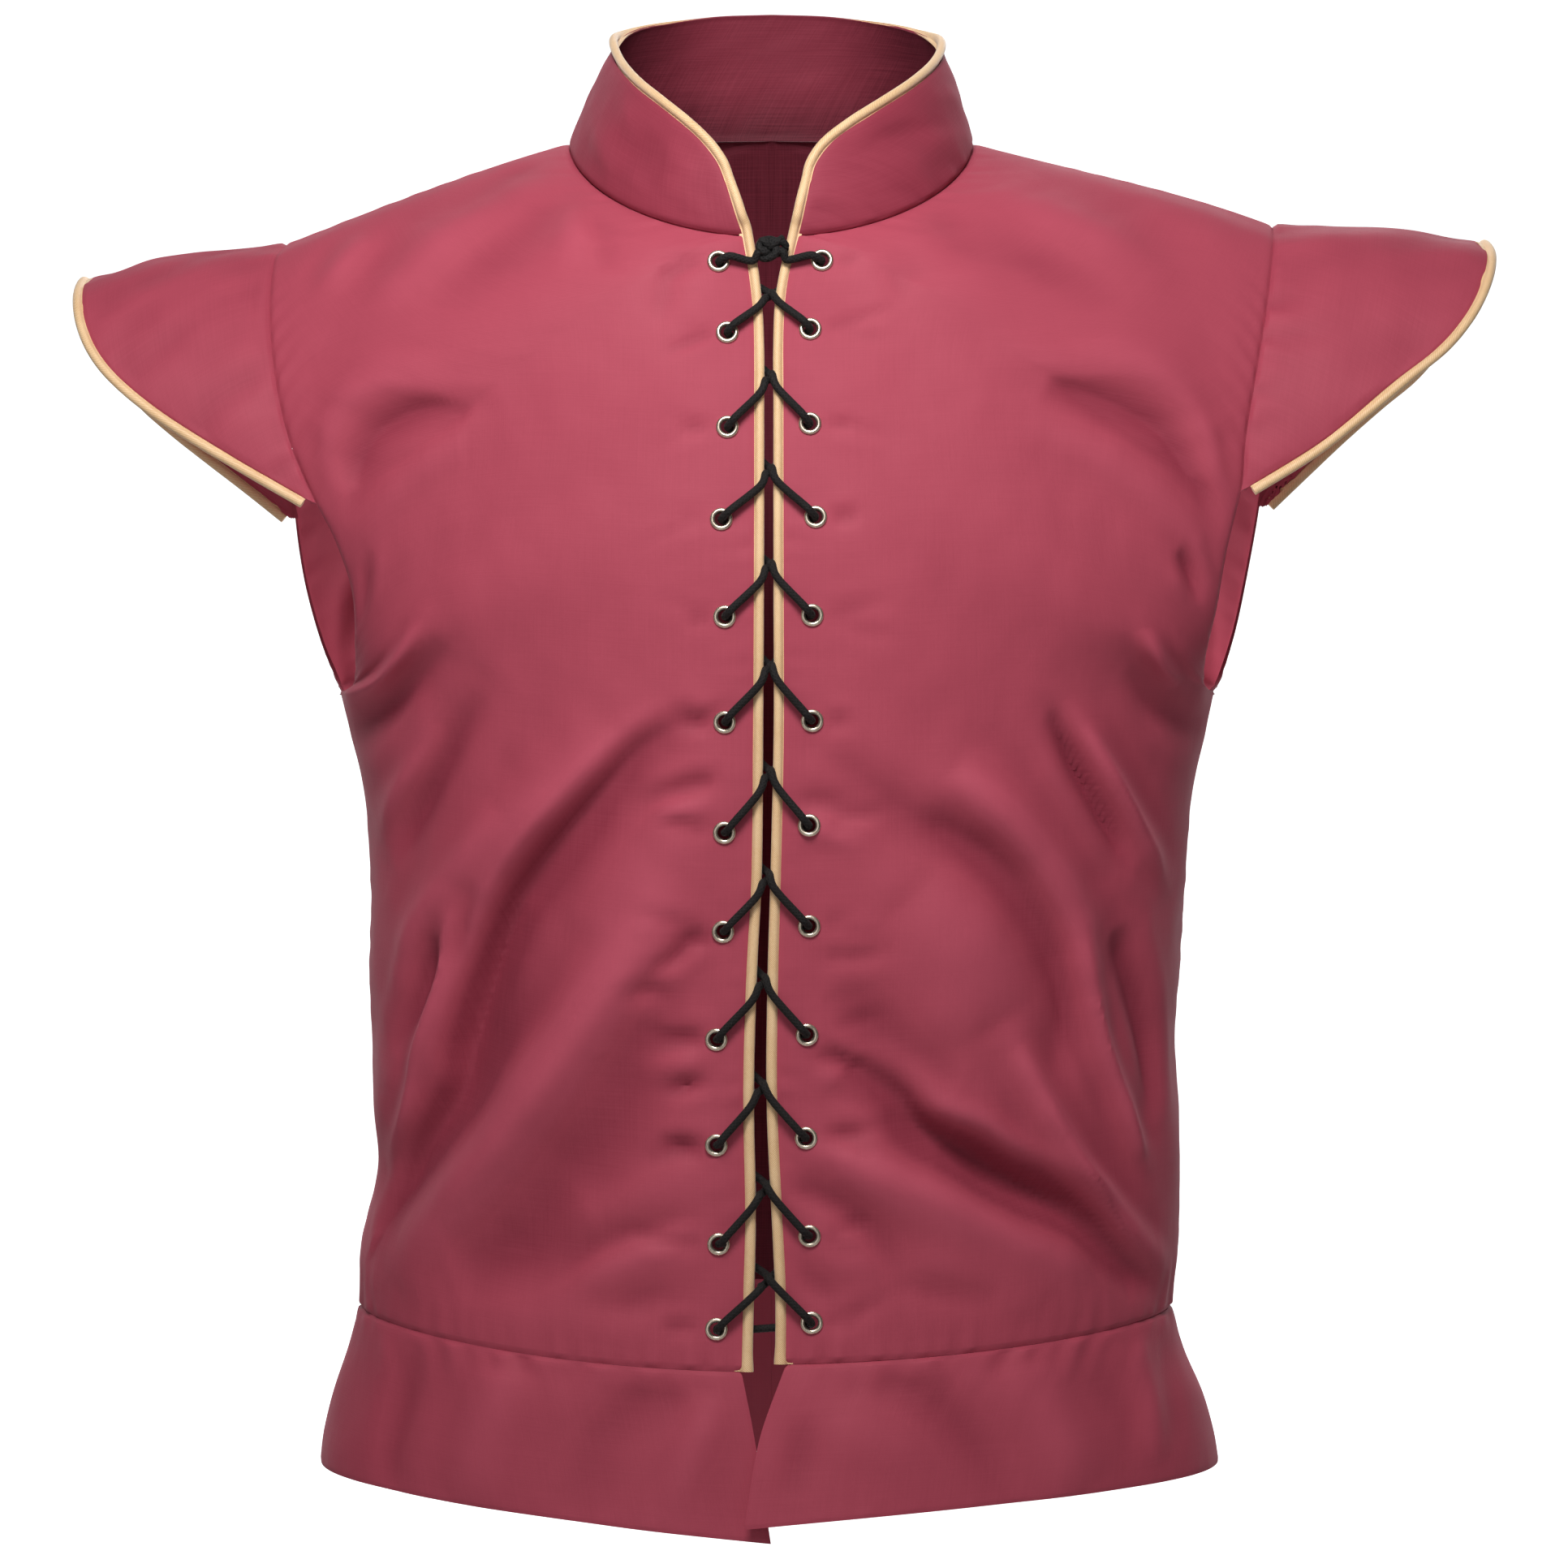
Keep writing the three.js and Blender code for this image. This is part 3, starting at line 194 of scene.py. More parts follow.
def spline(points: np.ndarray, pieces: int) -> np.ndarray:
    """A smooth line through some points.

    Args:
        points: Points it passes through, one row each.
        pieces: Steps from each point to the next.

    Returns:
        Points of the line.
    """
    padded = np.vstack([2 * points[0] - points[1], points, 2 * points[-1] - points[-2]])
    line = []
    for i in range(1, len(padded) - 2):
        a, b, c, d = padded[i - 1 : i + 3]
        t = np.linspace(0, 1, pieces, endpoint=False)[:, None]
        line.append(0.5 * (2 * b + (c - a) * t + (2 * a - 5 * b + 4 * c - d) * t**2
                           + (3 * b - a - 3 * c + d) * t**3))
    return np.vstack([*line, points[-1:]])


def even_line(points: np.ndarray, step: float) -> np.ndarray:
    """The same line with points an even step apart."""
    lengths = np.linalg.norm(np.diff(points, axis=0), axis=1)
    along = np.concatenate([[0], np.cumsum(lengths)])
    count = max(int(round(along[-1] / step)), 2)
    wanted = np.linspace(0, along[-1], count + 1)
    columns = [np.interp(wanted, along, points[:, k]) for k in range(points.shape[1])]
    return np.stack(columns, axis=-1)


NECK = NeckRing()

CENTRE_EDGE = Course(("share", "x_right", "x_left", "y", "z_right", "z_left"), (
    (0.00, -11.6, 9.3, -118, -589.0, -585.5),
    (0.06, -10.8, 9.3, -117, -554.0, -552.0),
    (0.13, -9.9, 7.6, -118, -516.0, -516.0),
    (0.24, -10.8, 5.2, -121, -459.0, -459.0),
    (0.35, -9.3, 5.7, -124, -402.0, -402.0),
    (0.43, -6.9, 6.9, -127, -356.0, -356.0),
    (0.56, -6.1, 8.3, -130, -287.0, -287.0),
    (0.69, -5.7, 8.2, -131, -220.0, -220.0),
    (0.85, -5.6, 8.1, -121, -130.0, -130.0),
    (0.92, -5.9, 8.2, -113, -95.0, -95.0),
    (0.96, -7.8, 10.2, -108, -74.0, -74.0),
))
SIDE_SEAM = Course(("share", "x_right", "x_left", "z"), (
    (0.00, -200.4, 199.2, -568),
    (0.10, -199.8, 202.6, -538),
    (0.20, -192.6, 203.2, -508),
    (0.25, -190.8, 203.2, -493),
    (0.33, -193.6, 202.8, -469),
    (0.44, -194.4, 200.8, -436),
    (0.55, -195.8, 203.4, -402),
    (0.68, -194.8, 205.6, -363),
    (0.84, -198.2, 209.4, -315),
    (0.94, -205.2, 216.0, -285),
    (1.00, -210.0, 220.0, -267),
))
ARMHOLE_COLUMNS = ("share", "y", "x_right", "z_right", "x_left", "z_left")
ARMHOLE_FRONT = Course(ARMHOLE_COLUMNS, (
    (0.00, 0, -210.0, -267, 220.0, -267),
    (0.10, -32, -201.0, -264, 213.0, -264),
    (0.21, -58, -199.0, -246, 212.5, -250),
    (0.32, -72, -199.5, -220, 216.5, -228),
    (0.42, -77, -207.0, -196, 221.0, -200),
    (0.50, -78, -216.0, -178, 227.5, -172),
    (0.62, -75, -228.0, -150, 230.0, -146),
    (0.75, -67, -236.0, -119, 236.0, -113),
    (0.87, -48, -241.0, -83, 243.0, -77),
    (0.95, -23, -241.0, -56, 248.0, -48),
    (1.00, 0, -237.0, -46, 249.6, -37),
))
ARMHOLE_BACK = Course(ARMHOLE_COLUMNS, (
    (0.00, 0, -210.0, -267, 220.0, -267),
    (0.12, 34, -216.0, -260, 227.0, -260),
    (0.25, 58, -226.0, -240, 236.0, -238),
    (0.38, 71, -235.0, -210, 243.0, -210),
    (0.50, 76, -240.0, -178, 250.0, -172),
    (0.62, 75, -241.0, -149, 252.5, -143),
    (0.75, 68, -242.0, -116, 253.0, -109),
    (0.87, 48, -242.5, -80, 252.5, -73),
    (0.95, 23, -241.0, -56, 251.0, -47),
    (1.00, 0, -237.0, -46, 249.6, -37),
))
CENTRE_BACK = Course(("share", "y", "z"), (
    (0.00, 106, -566),
    (0.12, 102, -498),
    (0.30, 112, -396),
    (0.48, 125, -294),
    (0.66, 135, -190),
    (0.80, 130, -108),
    (0.92, 102, -36),
))
HANDLE_COLUMNS = ("share", "inner_x", "inner_y", "inner_z", "outer_x", "outer_y", "outer_z")
FRONT_HANDLES = Course(HANDLE_COLUMNS, (
    (0.00, 108, -2, 2, 0, -68, -2),
    (0.25, 106, -3, 0, 0, -70, 0),
    (0.50, 100, -4, -4, 0, -72, 0),
    (0.61, 92, -6, -8, -28, -42, 4),
    (0.75, 66, -12, -16, -52, -30, 8),
    (0.88, 44, -16, -18, -50, -18, 14),
    (0.95, 46, -8, -12, -49, -8, 18),
    (1.00, 46, 0, -12, -48, 0, 19),
))
BACK_HANDLES = Course(HANDLE_COLUMNS, (
    (0.00, 108, 2, 0, 0, 62, 0),
    (0.25, 108, 2, 0, 0, 66, 0),
    (0.50, 104, 2, 0, 0, 72, 0),
    (0.61, 98, 2, -2, -22, 46, 2),
    (0.73, 84, 4, -6, -40, 32, 6),
    (0.82, 54, 14, -12, -50, 26, 12),
    (0.89, 42, 14, -14, -50, 18, 14),
    (0.95, 46, 7, -12, -49, 8, 18),
    (1.00, 46, 0, -12, -48, 0, 19),
))
WING_EDGE = Course(("share", "y", "x_right", "x_back_right", "z_right",
                    "x_left", "x_back_left", "z_left"), (
    (0.00, 78, -220.5, -243.5, -176, 231.5, 253.5, -170),
    (0.14, 76, -257.0, -268.0, -155, 268.0, 276.0, -147),
    (0.29, 73, -290.0, -293.0, -134, 299.0, 302.0, -121),
    (0.43, 67, -312.0, -313.0, -116, 322.0, 323.0, -103),
    (0.57, 58, -324.5, -324.5, -100, 337.0, 337.0, -86),
    (0.71, 46, -331.0, -331.0, -84, 346.0, 346.0, -70),
    (0.86, 27, -333.5, -333.5, -70, 351.5, 351.5, -54),
    (1.00, 0, -333.5, -333.5, -63, 350.5, 350.5, -45),
))
COLLAR_TOP = Course(("share", "x_right", "x_left", "y", "z"), (
    (0.00, -19.4, 20.9, -101.5, -26.5),
    (0.10, -24.0, 24.5, -99.0, -16.5),
    (0.20, -33.0, 34.0, -94.0, -5.0),
    (0.30, -47.0, 52.0, -83.0, 8.0),
    (0.42, -65.5, 74.5, -55.0, 26.0),
    (0.53, -75.5, 86.5, -17.0, 43.5),
    (0.62, -73.0, 81.5, 9.0, 56.0),
    (0.71, -64.5, 69.5, 28.0, 64.0),
    (0.81, -48.0, 54.0, 44.0, 69.5),
    (0.91, -25.0, 30.0, 55.0, 74.0),
    (1.00, 2.0, 2.0, 59.0, 75.5),
))
PEPLUM_FRONT_EDGE = Course(
    ("share", "x_right", "y_right", "z_right", "x_left", "y_left", "z_left"), (
        (0.00, -11.6, -118.0, -589, 9.3, -118.0, -585.5),
        (0.40, -5.4, -122.5, -620, -3.0, -128.5, -619.0),
        (1.00, 2.3, -126.0, -669, -10.2, -135.0, -661.0),
    ))
PEPLUM_SIDE_EDGE = Course(("share", "x_right", "x_left", "z"), (
    (0.00, -200.4, 199.2, -568),
    (0.30, -206.6, 205.4, -590),
    (0.60, -213.8, 214.8, -612),
    (0.80, -218.2, 220.0, -630),
    (1.00, -220.0, 222.6, -645),
))
PEPLUM_BACK_EDGE = Course(("share", "y", "z"), (
    (0.00, 106, -566),
    (0.50, 114, -606),
    (1.00, 128, -657),
))
PEPLUM_FRONT_HANDLES = Course(HANDLE_COLUMNS, (
    (0.00, 108, -2, 2, 0, -68, -2),
    (1.00, 104, -1, 10, 0, -76, -3),
))
PEPLUM_BACK_HANDLES = Course(HANDLE_COLUMNS, (
    (0.00, 108, 2, 0, 0, 62, 0),
    (1.00, 116, 2, 0, 0, 72, 0),
))


@dataclass(frozen=True)
class Crease:
    """One soft trough (depth below zero) or ridge along a given run.

    Attributes:
        depth: Height over the cloth at its middle.
        width: Half width where it has fallen to about a third.
        run: Points seen from the front or back, across and up.
        skew: Above zero, the side to the left of the run is the broader one.
        sharp: 0 for a round bottom, 1 for a crisp line.
    """

    depth: float
    width: float
    run: tuple[tuple[float, float], ...]
    skew: float = 0.0
    sharp: float = 0.0

    def height(self, u: np.ndarray, v: np.ndarray, run: np.ndarray) -> np.ndarray:
        """Height that this crease adds.

        Args:
            u: Way across of each point of the cloth.
            v: Way up of each point of the cloth.
            run: The crease's run on the cloth, across and up.

        Returns:
            A height for each point.
        """
        line = spline(run, SPLINE_STEPS)
        nearest = np.full(u.shape, 1e9)
        place = np.zeros(u.shape)
        across = np.zeros(u.shape)
        for i in range(len(line) - 1):
            (au, av), (bu, bv) = line[i], line[i + 1]
            du, dv = bu - au, bv - av
            length = max(du * du + dv * dv, 1e-9)
            t = np.clip(((u - au) * du + (v - av) * dv) / length, 0, 1)
            distance = np.hypot(u - au - t * du, v - av - t * dv)
            closer = distance < nearest
            nearest = np.where(closer, distance, nearest)
            place = np.where(closer, (i + t) / (len(line) - 1), place)
            turn = np.sign(du * (v - av) - dv * (u - au))
            across = np.where(closer, turn, across)
        width = self.width * (1 + self.skew * across)
        ratio = nearest / width
        middle = (1 - self.sharp) * np.exp(-ratio**2) + self.sharp * np.exp(-1.7 * ratio)
        shoulder = 0.2 * np.exp(-(((ratio - 2.1) / 0.9) ** 2))
        strength = np.sin(math.pi * (0.03 + 0.94 * place)) ** 0.8
        return self.depth * strength * (middle - shoulder)


FRONT_CREASES = {
    Side.RIGHT: (
        Crease(-12, 12, ((-36, -281), (-58, -296), (-77, -313), (-91, -329), (-107, -346),
                         (-121, -367), (-132, -389), (-142, -414), (-150, -437), (-156, -462),
                         (-170, -490), (-188, -527)), -0.55, 0.25),
        Crease(-5.5, 20, ((-121, -367), (-142, -414), (-156, -462), (-190, -530)), -0.1),
        Crease(5, 15, ((-72, -286), (-100, -318), (-124, -350), (-140, -384))),
        Crease(5, 5.5, ((-148, -372), (-151, -384), (-157, -409), (-166, -442), (-175, -470),
                        (-184, -494)), 0, 0.3),
        Crease(-5, 8, ((-157, -384), (-168, -410), (-181, -442)), 0, 0.3),
        Crease(4, 10, ((-128, -324), (-138, -340), (-161, -371), (-178, -395))),
        Crease(3.8, 7, ((-156, -284), (-164, -299), (-175, -316), (-185, -334)), 0, 0.2),
        Crease(-5.5, 11, ((-134, -270), (-152, -296), (-166, -322), (-180, -354)), 0.1, 0.2),
        Crease(7.5, 15, ((-42, -352), (-62, -390), (-83, -425), (-110, -463), (-147, -508),
                         (-176, -541)), 0.1),
        Crease(-5, 14, ((-86, -372), (-104, -413), (-127, -442), (-148, -476))),
        Crease(-4.4, 19, ((-34, -420), (-53, -449), (-69, -479), (-91, -503), (-114, -526)), -0.1),
        Crease(-2.6, 4.5, ((-60, -323), (-44, -315), (-30, -312), (-23, -313)), 0, 0.3),
        Crease(1.8, 5, ((-56, -332), (-42, -325), (-28, -323))),
        Crease(-3.4, 4, ((-55, -403), (-44, -394), (-34, -388), (-24, -385)), 0, 0.4),
        Crease(-2.2, 4.5, ((-44, -411), (-56, -408), (-67, -414)), 0, 0.3),
        Crease(-2.8, 4, ((-47, -458), (-38, -455), (-27, -451)), 0, 0.4),
        Crease(1.8, 6, ((-60, -448), (-44, -444), (-30, -443))),
        Crease(-1.8, 5, ((-52, -438), (-38, -434), (-28, -435)), 0, 0.2),
        Crease(-2.4, 6, ((-50, -488), (-38, -486), (-26, -490)), 0, 0.2),
        Crease(-3.0, 7, ((-30, -516), (-52, -520), (-78, -530), (-100, -545)), 0.2, 0.2),
        Crease(-2.0, 8, ((-40, -550), (-62, -556), (-88, -562))),
        Crease(-5.0, 18, ((-84, -518), (-116, -534), (-150, -546))),
        Crease(-7.5, 9, ((-146, -131), (-166, -133), (-182, -142), (-195, -160), (-203, -188)),
               -0.2, 0.3),
        Crease(2.4, 10, ((-158, -106), (-182, -115), (-204, -132))),
        Crease(-4, 6, ((-193, -204), (-194, -220), (-196, -236)), 0, 0.3),
        Crease(5, 7, ((-165, -236), (-177, -254), (-188, -264), (-205, -270))),
        Crease(-4.5, 9, ((-150, -247), (-168, -266), (-186, -280), (-202, -286)), 0, 0.2),
        Crease(3.2, 9, ((-121, -21), (-137, -35), (-153, -50), (-171, -68), (-186, -90))),
        Crease(-2.8, 9, ((-108, -30), (-126, -47), (-143, -64), (-160, -86))),
        Crease(-2.4, 8, ((-112, -6), (-124, -14), (-140, -28), (-156, -40))),
        Crease(2.8, 7, ((-192, -46), (-202, -57), (-214, -77))),
        Crease(-2.4, 4.5, ((-82, -36), (-79, -51), (-75, -70)), 0, 0.35),
        Crease(1.8, 6, ((-91, -35), (-89, -50), (-87, -70))),
        Crease(-1.6, 7, ((-50, -63), (-49, -80), (-52, -98))),
    ),
    Side.LEFT: (
        Crease(-4.8, 12, ((28, -295), (48, -312), (72, -328), (100, -341), (122, -358),
                          (134, -380), (141, -408), (140, -432), (134, -452)), -0.2, 0.15),
        Crease(4.5, 20, ((66, -366), (92, -392), (106, -428))),
        Crease(6.5, 11, ((88, -304), (102, -318), (129, -351), (144, -382), (153, -412)), 0.1),
        Crease(-7, 6, ((136, -276), (143, -292), (152, -307), (165, -330), (173, -345)),
               -0.2, 0.35),
        Crease(5, 6.5, ((150, -284), (161, -305), (177, -332), (193, -360)), 0, 0.25),
        Crease(5.5, 6, ((147, -384), (152, -401), (161, -437), (175, -476), (182, -494)), 0, 0.25),
        Crease(-5.5, 9, ((168, -380), (174, -400), (184, -438), (187, -478)), 0, 0.1),
        Crease(-11.5, 13, ((38, -443), (47, -449), (61, -460), (77, -474), (96, -487), (116, -499),
                         (135, -508), (155, -519), (172, -537), (188, -556)), -0.45, 0.2),
        Crease(-4.5, 20, ((84, -484), (116, -502), (150, -522))),
        Crease(8, 7.5, ((118, -436), (127, -453), (138, -475), (152, -500), (169, -525),
                        (190, -549)), 0, 0.3),
        Crease(-4, 13, ((30, -410), (61, -438), (90, -458))),
        Crease(6, 11, ((34, -484), (74, -503), (116, -523), (160, -546))),
        Crease(-3.8, 8, ((10, -501), (33, -508), (50, -525), (66, -545)), 0.2, 0.2),
        Crease(-1.8, 6, ((12, -538), (34, -560)), 0, 0.2),
        Crease(-1.4, 7, ((58, -548), (84, -553), (112, -557))),
        Crease(-1.8, 5, ((26, -392), (42, -394), (60, -390)), 0, 0.3),
        Crease(-3.4, 4.5, ((24, -441), (36, -443), (46, -449)), 0, 0.4),
        Crease(-2.4, 5, ((27, -476), (40, -478), (52, -487)), 0, 0.3),
        Crease(-2.0, 6, ((10, -322), (26, -322), (42, -328)), 0, 0.2),
        Crease(1.6, 6, ((14, -333), (30, -334), (46, -341))),
        Crease(-8.5, 9, ((136, -118), (156, -126), (178, -136), (195, -150), (206, -168),
                         (220, -190)), -0.3, 0.35),
        Crease(2.6, 10, ((150, -101), (178, -110), (204, -126))),
        Crease(-4.5, 7, ((196, -200), (203, -212), (208, -226)), 0, 0.3),
        Crease(4.5, 8, ((180, -238), (188, -253), (198, -264))),
        Crease(-3.0, 8, ((172, -258), (184, -272), (198, -281), (212, -287)), 0, 0.2),
        Crease(3.0, 11, ((110, -22), (132, -36), (158, -50), (180, -66))),
        Crease(-2.8, 9, ((104, -36), (126, -54), (148, -70), (164, -88))),
        Crease(-1.8, 7, ((84, -34), (92, -50), (98, -66))),
        Crease(-1.6, 6, ((62, -54), (66, -70), (68, -88))),
    ),
}
BACK_CREASES = (
    Crease(-9, 16, ((-32, -330), (-84, -386), (-124, -440), (-168, -500)), 0.2, 0.1),
    Crease(6.5, 15, ((-40, -420), (-82, -462), (-118, -496), (-156, -528)), -0.2),
    Crease(-8, 16, ((44, -318), (92, -370), (132, -432), (172, -508)), -0.2, 0.1),
    Crease(6.5, 15, ((60, -426), (96, -470), (130, -502), (168, -530))),
    Crease(-5, 17, ((-150, -200), (-120, -236), (-84, -262), (-40, -276))),
    Crease(-5, 17, ((158, -190), (122, -230), (92, -258), (52, -270))),
    Crease(-4.5, 9, ((-10, -470), (-44, -488), (-76, -512), (-104, -540)), 0.2, 0.2),
    Crease(-5, 9, ((8, -452), (40, -474), (70, -494), (98, -528)), 0, 0.25),
    Crease(3.6, 8, ((-4, -440), (28, -458), (60, -478))),
    Crease(-3.4, 8, ((-120, -404), (-146, -432), (-170, -466), (-184, -500)), 0, 0.3),
    Crease(3.6, 8, ((128, -392), (152, -426), (172, -462), (186, -496))),
    Crease(-5.5, 9, ((-196, -196), (-206, -222), (-208, -250)), 0, 0.3),
    Crease(-5.5, 9, ((204, -192), (214, -220), (216, -250)), 0, 0.3),
    Crease(-3, 9, ((-30, -542), (-64, -548), (-96, -556)), 0, 0.2),
    Crease(-3, 9, ((34, -540), (70, -548), (100, -556)), 0, 0.2),
    Crease(-2.4, 10, ((-60, -44), (-92, -66), (-126, -96))),
    Crease(-2.4, 10, ((64, -42), (96, -64), (132, -92))),
    Crease(2.4, 12, ((-20, -120), (-60, -146), (-104, -168))),
    Crease(2.2, 12, ((24, -112), (66, -140), (112, -160))),
)
COLLAR_CREASES = (
    Crease(-1.0, 10, ((-66, -4), (-58, -14), (-48, -22))),
    Crease(1.2, 8, ((-84, 6), (-78, -8), (-68, -20))),
    Crease(-1.4, 8, ((70, 12), (64, -2), (52, -14))),
    Crease(1.0, 8, ((90, 18), (84, 2), (74, -12))),
)
PEPLUM_CREASES = {
    Side.RIGHT: (
        Crease(-3.6, 13, ((-42, -590), (-62, -606), (-80, -625), (-96, -660)), 0.2),
        Crease(4, 15, ((-120, -585), (-130, -605), (-138, -630), (-144, -660))),
        Crease(-3, 9, ((-168, -576), (-174, -600), (-180, -630), (-184, -650))),
        Crease(2.4, 8, ((-24, -600), (-34, -622), (-44, -655))),
    ),
    Side.LEFT: (
        Crease(-4.0, 12, ((48, -584), (74, -600), (92, -614), (112, -650)), 0.2, 0.2),
        Crease(4, 15, ((120, -585), (132, -605), (142, -630), (150, -660))),
        Crease(3.2, 9, ((176, -578), (184, -606), (188, -640))),
        Crease(-2.4, 9, ((18, -606), (16, -626), (12, -650))),
    ),
}
PEPLUM_BACK_CREASES = (
    Crease(-5, 15, ((-70, -575), (-80, -600), (-88, -625), (-96, -655))),
    Crease(5, 16, ((10, -575), (6, -600), (2, -625), (0, -655))),
    Crease(-5, 15, ((84, -575), (94, -600), (104, -625), (112, -655))),
    Crease(3.4, 12, ((-140, -575), (-152, -600), (-160, -625), (-164, -650))),
    Crease(3.4, 12, ((146, -575), (156, -600), (164, -625), (168, -650))),
    Crease(-2.6, 9, ((44, -575), (46, -600), (50, -630))),
    Crease(-2.4, 9, ((-32, -575), (-36, -604), (-40, -634))),
)


@dataclass(frozen=True)
class PanelShape:
    """A smooth surface between two edges of a panel."""

    side: Side
    inner: Callable[[np.ndarray], np.ndarray]
    outer: Callable[[np.ndarray], np.ndarray]
    handles: Course

    def points(self, across: np.ndarray, up: np.ndarray) -> np.ndarray:
        """Points of the surface.

        Args:
            across: Shares from the inner edge to the outer one.
            up: Shares from one end to the other.

        Returns:
            A grid with a row for each share up.
        """
        inner, outer = self.inner(up), self.outer(up)
        row = self.handles.at(up)
        sign = self.side.value
        lead = np.stack([sign * row["inner_x"], row["inner_y"], row["inner_z"]], axis=-1)
        tail = np.stack([sign * row["outer_x"], row["outer_y"], row["outer_z"]], axis=-1)
        t = across[None, :, None]
        a, d = inner[:, None], outer[:, None]
        b, c = (inner + lead)[:, None], (outer + tail)[:, None]
        return (a * (1 - t) ** 3 + 3 * b * t * (1 - t) ** 2
                + 3 * c * t * t * (1 - t) + d * t**3)

    def edge(self, place: float, up: np.ndarray, flip: float) -> tuple[np.ndarray, np.ndarray]:
        """One edge's points and the outward normals there.

        Args:
            place: 0 for the inner edge, 1 for the outer one.
            up: Shares along the edge.
            flip: 1 or -1, which turns the normals outwards.

        Returns:
            Points and normals, one row each.
        """
        step = 0.004
        near = np.array([0, step]) if place == 0 else np.array([1 - step, 1])
        low, high = np.maximum(up - step, 0), np.minimum(up + step, 1)
        here = self.points(near, up)
        upwards = self.points(near, high) - self.points(near, low)
        normal = unit(np.cross(here[:, 1] - here[:, 0], upwards.mean(axis=1)) * flip)
        return here[:, 0 if place == 0 else 1], normal


def outer_edge(side: Side, armhole: Course) -> Callable[[np.ndarray], np.ndarray]:
    """The side seam and then the armhole, as one edge of a body panel."""

    def at(up: np.ndarray) -> np.ndarray:
        low = SIDE_SEAM.points(side, np.minimum(up / UNDERARM_SHARE, 1))
        rest = np.clip((up - UNDERARM_SHARE) / (1 - UNDERARM_SHARE), 0, 1)
        high = armhole.points(side, rest)
        return np.where((up <= UNDERARM_SHARE)[:, None], low, high)

    return at


def body_inner_edge(side: Side, front: bool) -> Callable[[np.ndarray], np.ndarray]:
    """The middle line and then the neck, as one edge of a body panel."""
    start = FRONT_NECK_SHARE if front else BACK_NECK_SHARE
    first = NECK.opening if front else math.pi
    top = NECK.points(side, np.array([first]))[0]
    if front:
        line = CENTRE_EDGE.extended((1, top[0], top[0], top[1], top[2], top[2]))
    else:
        line = CENTRE_BACK.extended((1, top[1], top[2]))

    def at(up: np.ndarray) -> np.ndarray:
        low = line.points(side, np.minimum(up / start, 1))
        rest = np.clip((up - start) / (1 - start), 0, 1)
        high = NECK.points(side, first + (math.pi / 2 - first) * rest)
        return np.where((up <= start)[:, None], low, high)

    return at


def eased(grid: np.ndarray, across: np.ndarray, up: np.ndarray, reach: float = 0.06,
          passes: int = 120) -> np.ndarray:
    """Rounds the faint edge that runs across a panel level with the underarm.

    Args:
        grid: Points of the panel.
        across: Shares of its columns.
        up: Shares of its rows.
        reach: Share of its height over which it fades.
        passes: How often each row is drawn towards its neighbours.

    Returns:
        The rounded grid, its side edges as before.
    """
    rounded = grid.copy()
    near = np.exp(-(((up[1:-1] - UNDERARM_SHARE) / reach) ** 2))[:, None]
    share = 0.5 * near * smooth_step(1 - across, 0, 0.25) * smooth_step(across, 0, 0.1)
    for _ in range(passes):
        middle = (rounded[:-2] + rounded[2:]) / 2
        rounded[1:-1] += (middle - rounded[1:-1]) * share[..., None]
    return rounded


def front_shape(side: Side) -> PanelShape:
    """Surface of one front."""
    return PanelShape(side, body_inner_edge(side, True), outer_edge(side, ARMHOLE_FRONT),
                      FRONT_HANDLES)


def back_shape(side: Side) -> PanelShape:
    """Surface of one half of the back."""
    return PanelShape(side, body_inner_edge(side, False), outer_edge(side, ARMHOLE_BACK),
                      BACK_HANDLES)


def spaced(count: int, breaks: Sequence[float] = (), rim: float = 0.0) -> np.ndarray:
    """Shares from 0 to 1, even between breaks, with close ones at both ends.

    Args:
        count: About how many steps there are.
        breaks: Shares that are always among them.
        rim: Share of the first close step, 0 for none.

    Returns:
        The shares in order.
    """
    stops = [0.0, *breaks, 1.0]
    shares = [np.array([0.0])]
    for low, high in zip(stops[:-1], stops[1:]):
        steps = max(int(round(count * (high - low))), 1)
        shares.append(np.linspace(low, high, steps + 1)[1:])
    values = np.concatenate(shares)
    if rim:
        close = np.array([rim, 2.2 * rim])
        values = np.concatenate([values, close, 1 - close])
    return np.unique(np.round(values, 9))


class Edge(Enum):
    """An edge of a cloth grid."""

    START = "start"
    END = "end"
    BOTTOM = "bottom"
    TOP = "top"


